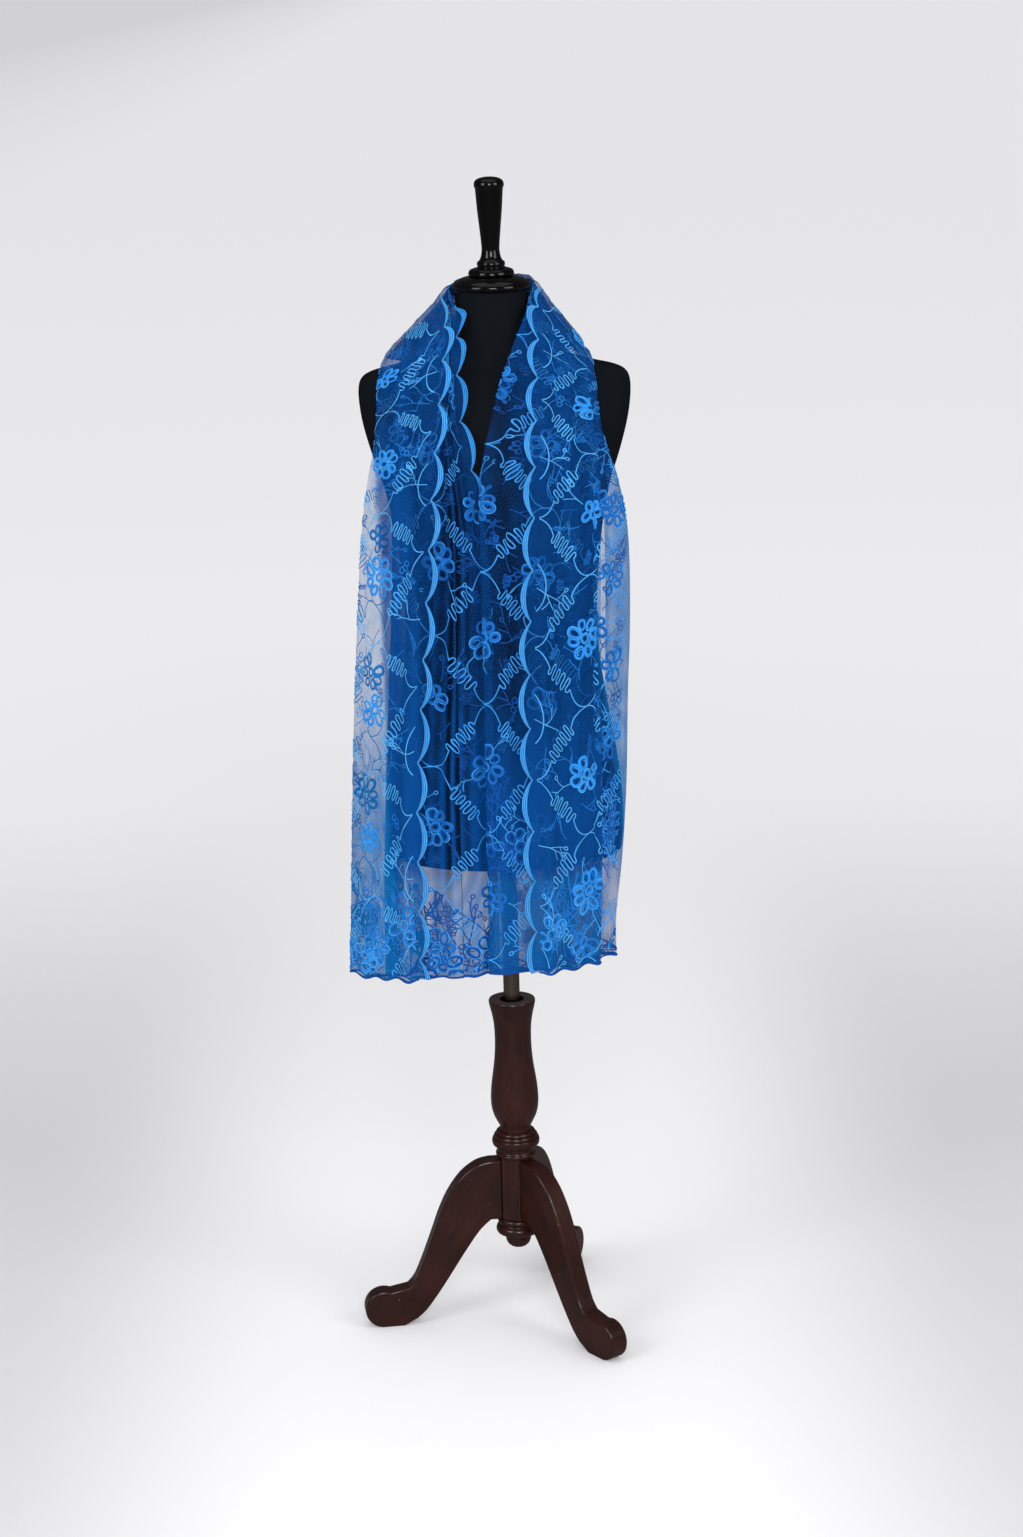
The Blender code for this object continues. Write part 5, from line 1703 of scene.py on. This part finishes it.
def wood_material(name, specks):
    """Stained wood under satin varnish; specks is how much of it is knocked bare."""
    made, nodes, shader = new_material(name, Base_Color=WOOD_RED, Roughness=0.34, Specular_IOR_Level=0.35,
                                       Coat_Weight=0.55, Coat_Roughness=0.12)
    grain = painted(nodes, "grain", "Vector")
    figure = noise(nodes, stretched(nodes, grain, (1.0, 1.0, 0.07)), 260.0, 4.0, 0.6)
    cloud = noise(nodes, grain, 16.0, 2.0)
    both = maths(nodes, "ADD", maths(nodes, "MULTIPLY", figure, 0.6), maths(nodes, "MULTIPLY", cloud, 0.6))
    stain = blend(nodes, ramp(nodes, both, 0.42, 0.78, 0.0, 1.0, soft=False), WOOD_DARK, WOOD_RED)
    knock = noise(nodes, grain, 120.0, 1.0)
    bare = ramp(nodes, knock, 0.86 - specks, 0.88 - specks, 0.0, 0.8, soft=False)
    plug(blend(nodes, bare, stain, WOOD_BARE), shader.inputs["Base Color"])
    add_bump(nodes, shader, figure, 0.10, 0.0006)
    return made


turned_wood = wood_material("turned_mahogany", 0.0)
board_wood = wood_material("board_mahogany", 0.05)
dusty_end, nodes, shader = new_material("dusty_post_top", Base_Color=(0.075, 0.055, 0.048, 1.0),
                                        Roughness=0.75, Specular_IOR_Level=0.2)
add_bump(nodes, shader, noise(nodes, own_place(nodes), 300.0, 3.0), 0.2, 0.0004)
steel, nodes, shader = new_material("dark_polished_steel", Base_Color=(0.330, 0.260, 0.215, 1.0),
                                    Roughness=0.20, Metallic=1.0)
brushed = stretched(nodes, own_place(nodes), (1.0, 1.0, 0.05))
add_bump(nodes, shader, noise(nodes, brushed, 300.0, 3.0), 0.05, 0.0003)
print("materials of the stand:", [made.name for made in (turned_wood, board_wood, dusty_end, steel)])

# %% [markdown]
# ## The pole, the post and the rings
# Below the pole come the post, the rings, the block, the base and the ball, all on its line. The rim of
# the post, where the pole goes in, has lost its varnish and gathered dust, so the faces on top of it get a
# dull material of their own.

# %% The pole and the turned parts of the stand
POLE_RADIUS, POLE_MIDDLE = 0.0113, 0.575
POST_RIM, UPWARD = 0.4735, 0.6
turned_piece("pole_steel", [(z, POLE_RADIUS) for z in (pole_high.z, POLE_MIDDLE, pole_low.z)],
             steel, "pole_metal", ("pole",))
post = turned_piece("stand_post_wood", POST_PROFILE, turned_wood, "mahogany", ("stand_post",), POST_BORE)
post.data.materials.append(dusty_end)
for face in post.data.polygons:
    if face.center.z > POST_RIM and face.normal.z > UPWARD:
        face.material_index = 1
for name, profile in (("stand_rings", RINGS_PROFILE), ("stand_base", BASE_PROFILE),
                      ("ball_end", BALL_PROFILE)):
    turned_piece(name + "_wood", profile, turned_wood, "mahogany", (name,))
print("dusty faces on the post:", sum(face.material_index for face in post.data.polygons))

# %% [markdown]
# ## The block and the board legs
# The block that joins the legs has six flat sides, so a cone with equal ends makes it. Each leg is sawn
# from a board: its outline runs down the top edge, round the scrolled foot and back up the under edge, and
# is pushed through by the board's thickness. One outline serves for all three, a third of a turn apart.
# The edges are bevelled, because rounded edges catch the lamps.

# %% The faceted block and the board legs
LEG_AZIMUTH = 187.6
LEG_THICKNESS = 0.027
LEG_ROOT = 0.0233
BLOCK_TOP, BLOCK_BASE, BLOCK_WIDTH = 0.2420, 0.1500, 0.0460
LEG_TOP_EDGE = (
    (0.0400, 0.2390), (0.0580, 0.2345), (0.0790, 0.2195), (0.0970, 0.1960), (0.1110, 0.1680),
    (0.1240, 0.1330), (0.1380, 0.0960), (0.1500, 0.0690), (0.1600, 0.0570),
)
LEG_UNDER_EDGE = (
    (0.1480, 0.0105), (0.1350, 0.0225), (0.1180, 0.0450), (0.0985, 0.0740), (0.0790, 0.1040),
    (0.0570, 0.1350), (0.0400, 0.1510),
)
FOOT_CENTRE = (0.1960, 0.0270)
FOOT_RADIUS = 0.0270
FOOT_ARC = (112.0, -90.0)
SOLE_INNER = 0.1680
BOARD_SLANT = math.radians(38.0)
TOP_STEPS, UNDER_STEPS, FOOT_STEPS = 60, 50, 40
BLOCK_BEVEL, LEG_BEVEL = 0.0008, 0.0026


def bevel_edges(made, width):
    """Round the sharp edges by this width."""
    rounding = made.modifiers.new("round", "BEVEL")
    rounding.width = width
    rounding.segments = 3
    rounding.limit_method = "ANGLE"
    rounding.angle_limit = math.radians(50.0)


block_radius = BLOCK_WIDTH / 2 / math.cos(math.pi / 6)
middle = Matrix.Translation((0, 0, (BLOCK_TOP + BLOCK_BASE) / 2))
build = bmesh.new()
bmesh.ops.create_cone(build, cap_ends=True, segments=6, radius1=block_radius, radius2=block_radius,
                      depth=BLOCK_TOP - BLOCK_BASE,
                      matrix=middle @ Matrix.Rotation(math.radians(LEG_AZIMUTH), 4, "Z"))
mesh = to_mesh(build, "stand_block_wood")
set_grain(mesh, lambda x, y, z: (x, y, z))
block = add_piece("stand_block_wood", mesh, turned_wood, ("stand_block",), 30.0)
bevel_edges(block, BLOCK_BEVEL)


def leg_outline():
    """Round the leg: down its top edge, round the foot, along the sole and up the under edge."""
    top = spline(np.array(LEG_TOP_EDGE), np.linspace(0, len(LEG_TOP_EDGE) - 1, TOP_STEPS))
    under = spline(np.array(LEG_UNDER_EDGE), np.linspace(0, len(LEG_UNDER_EDGE) - 1, UNDER_STEPS))
    turn = np.radians(np.linspace(*FOOT_ARC, FOOT_STEPS))
    foot = np.array(FOOT_CENTRE) + FOOT_RADIUS * np.stack([np.cos(turn), np.sin(turn)], 1)
    first, last = [(LEG_ROOT, LEG_TOP_EDGE[0][1])], [(LEG_ROOT, LEG_UNDER_EDGE[-1][1])]
    return np.concatenate([first, top, foot, [(SOLE_INNER, 0.0)], under, last])


for name, turned_by in (("leg_left", 0), ("leg_right", 120), ("leg_back", 240)):
    azimuth = LEG_AZIMUTH + turned_by
    build = bmesh.new()
    rim = [build.verts.new((reach, -LEG_THICKNESS / 2, z)) for reach, z in leg_outline()]
    pushed = bmesh.ops.extrude_face_region(build, geom=[build.faces.new(rim)])["geom"]
    far_side = [item for item in pushed if isinstance(item, bmesh.types.BMVert)]
    bmesh.ops.translate(build, verts=far_side, vec=(0, LEG_THICKNESS, 0))
    bmesh.ops.recalc_face_normals(build, faces=build.faces)
    mesh = to_mesh(build, name + "_wood")
    c, k = math.cos(BOARD_SLANT), math.sin(BOARD_SLANT)
    set_grain(mesh, lambda x, y, z: (x * c + z * k + azimuth, y, z * c - x * k))
    mesh.transform(Matrix.Rotation(math.radians(azimuth), 4, "Z"))
    bevel_edges(add_piece(name + "_wood", mesh, board_wood, (name,), 35.0), LEG_BEVEL)
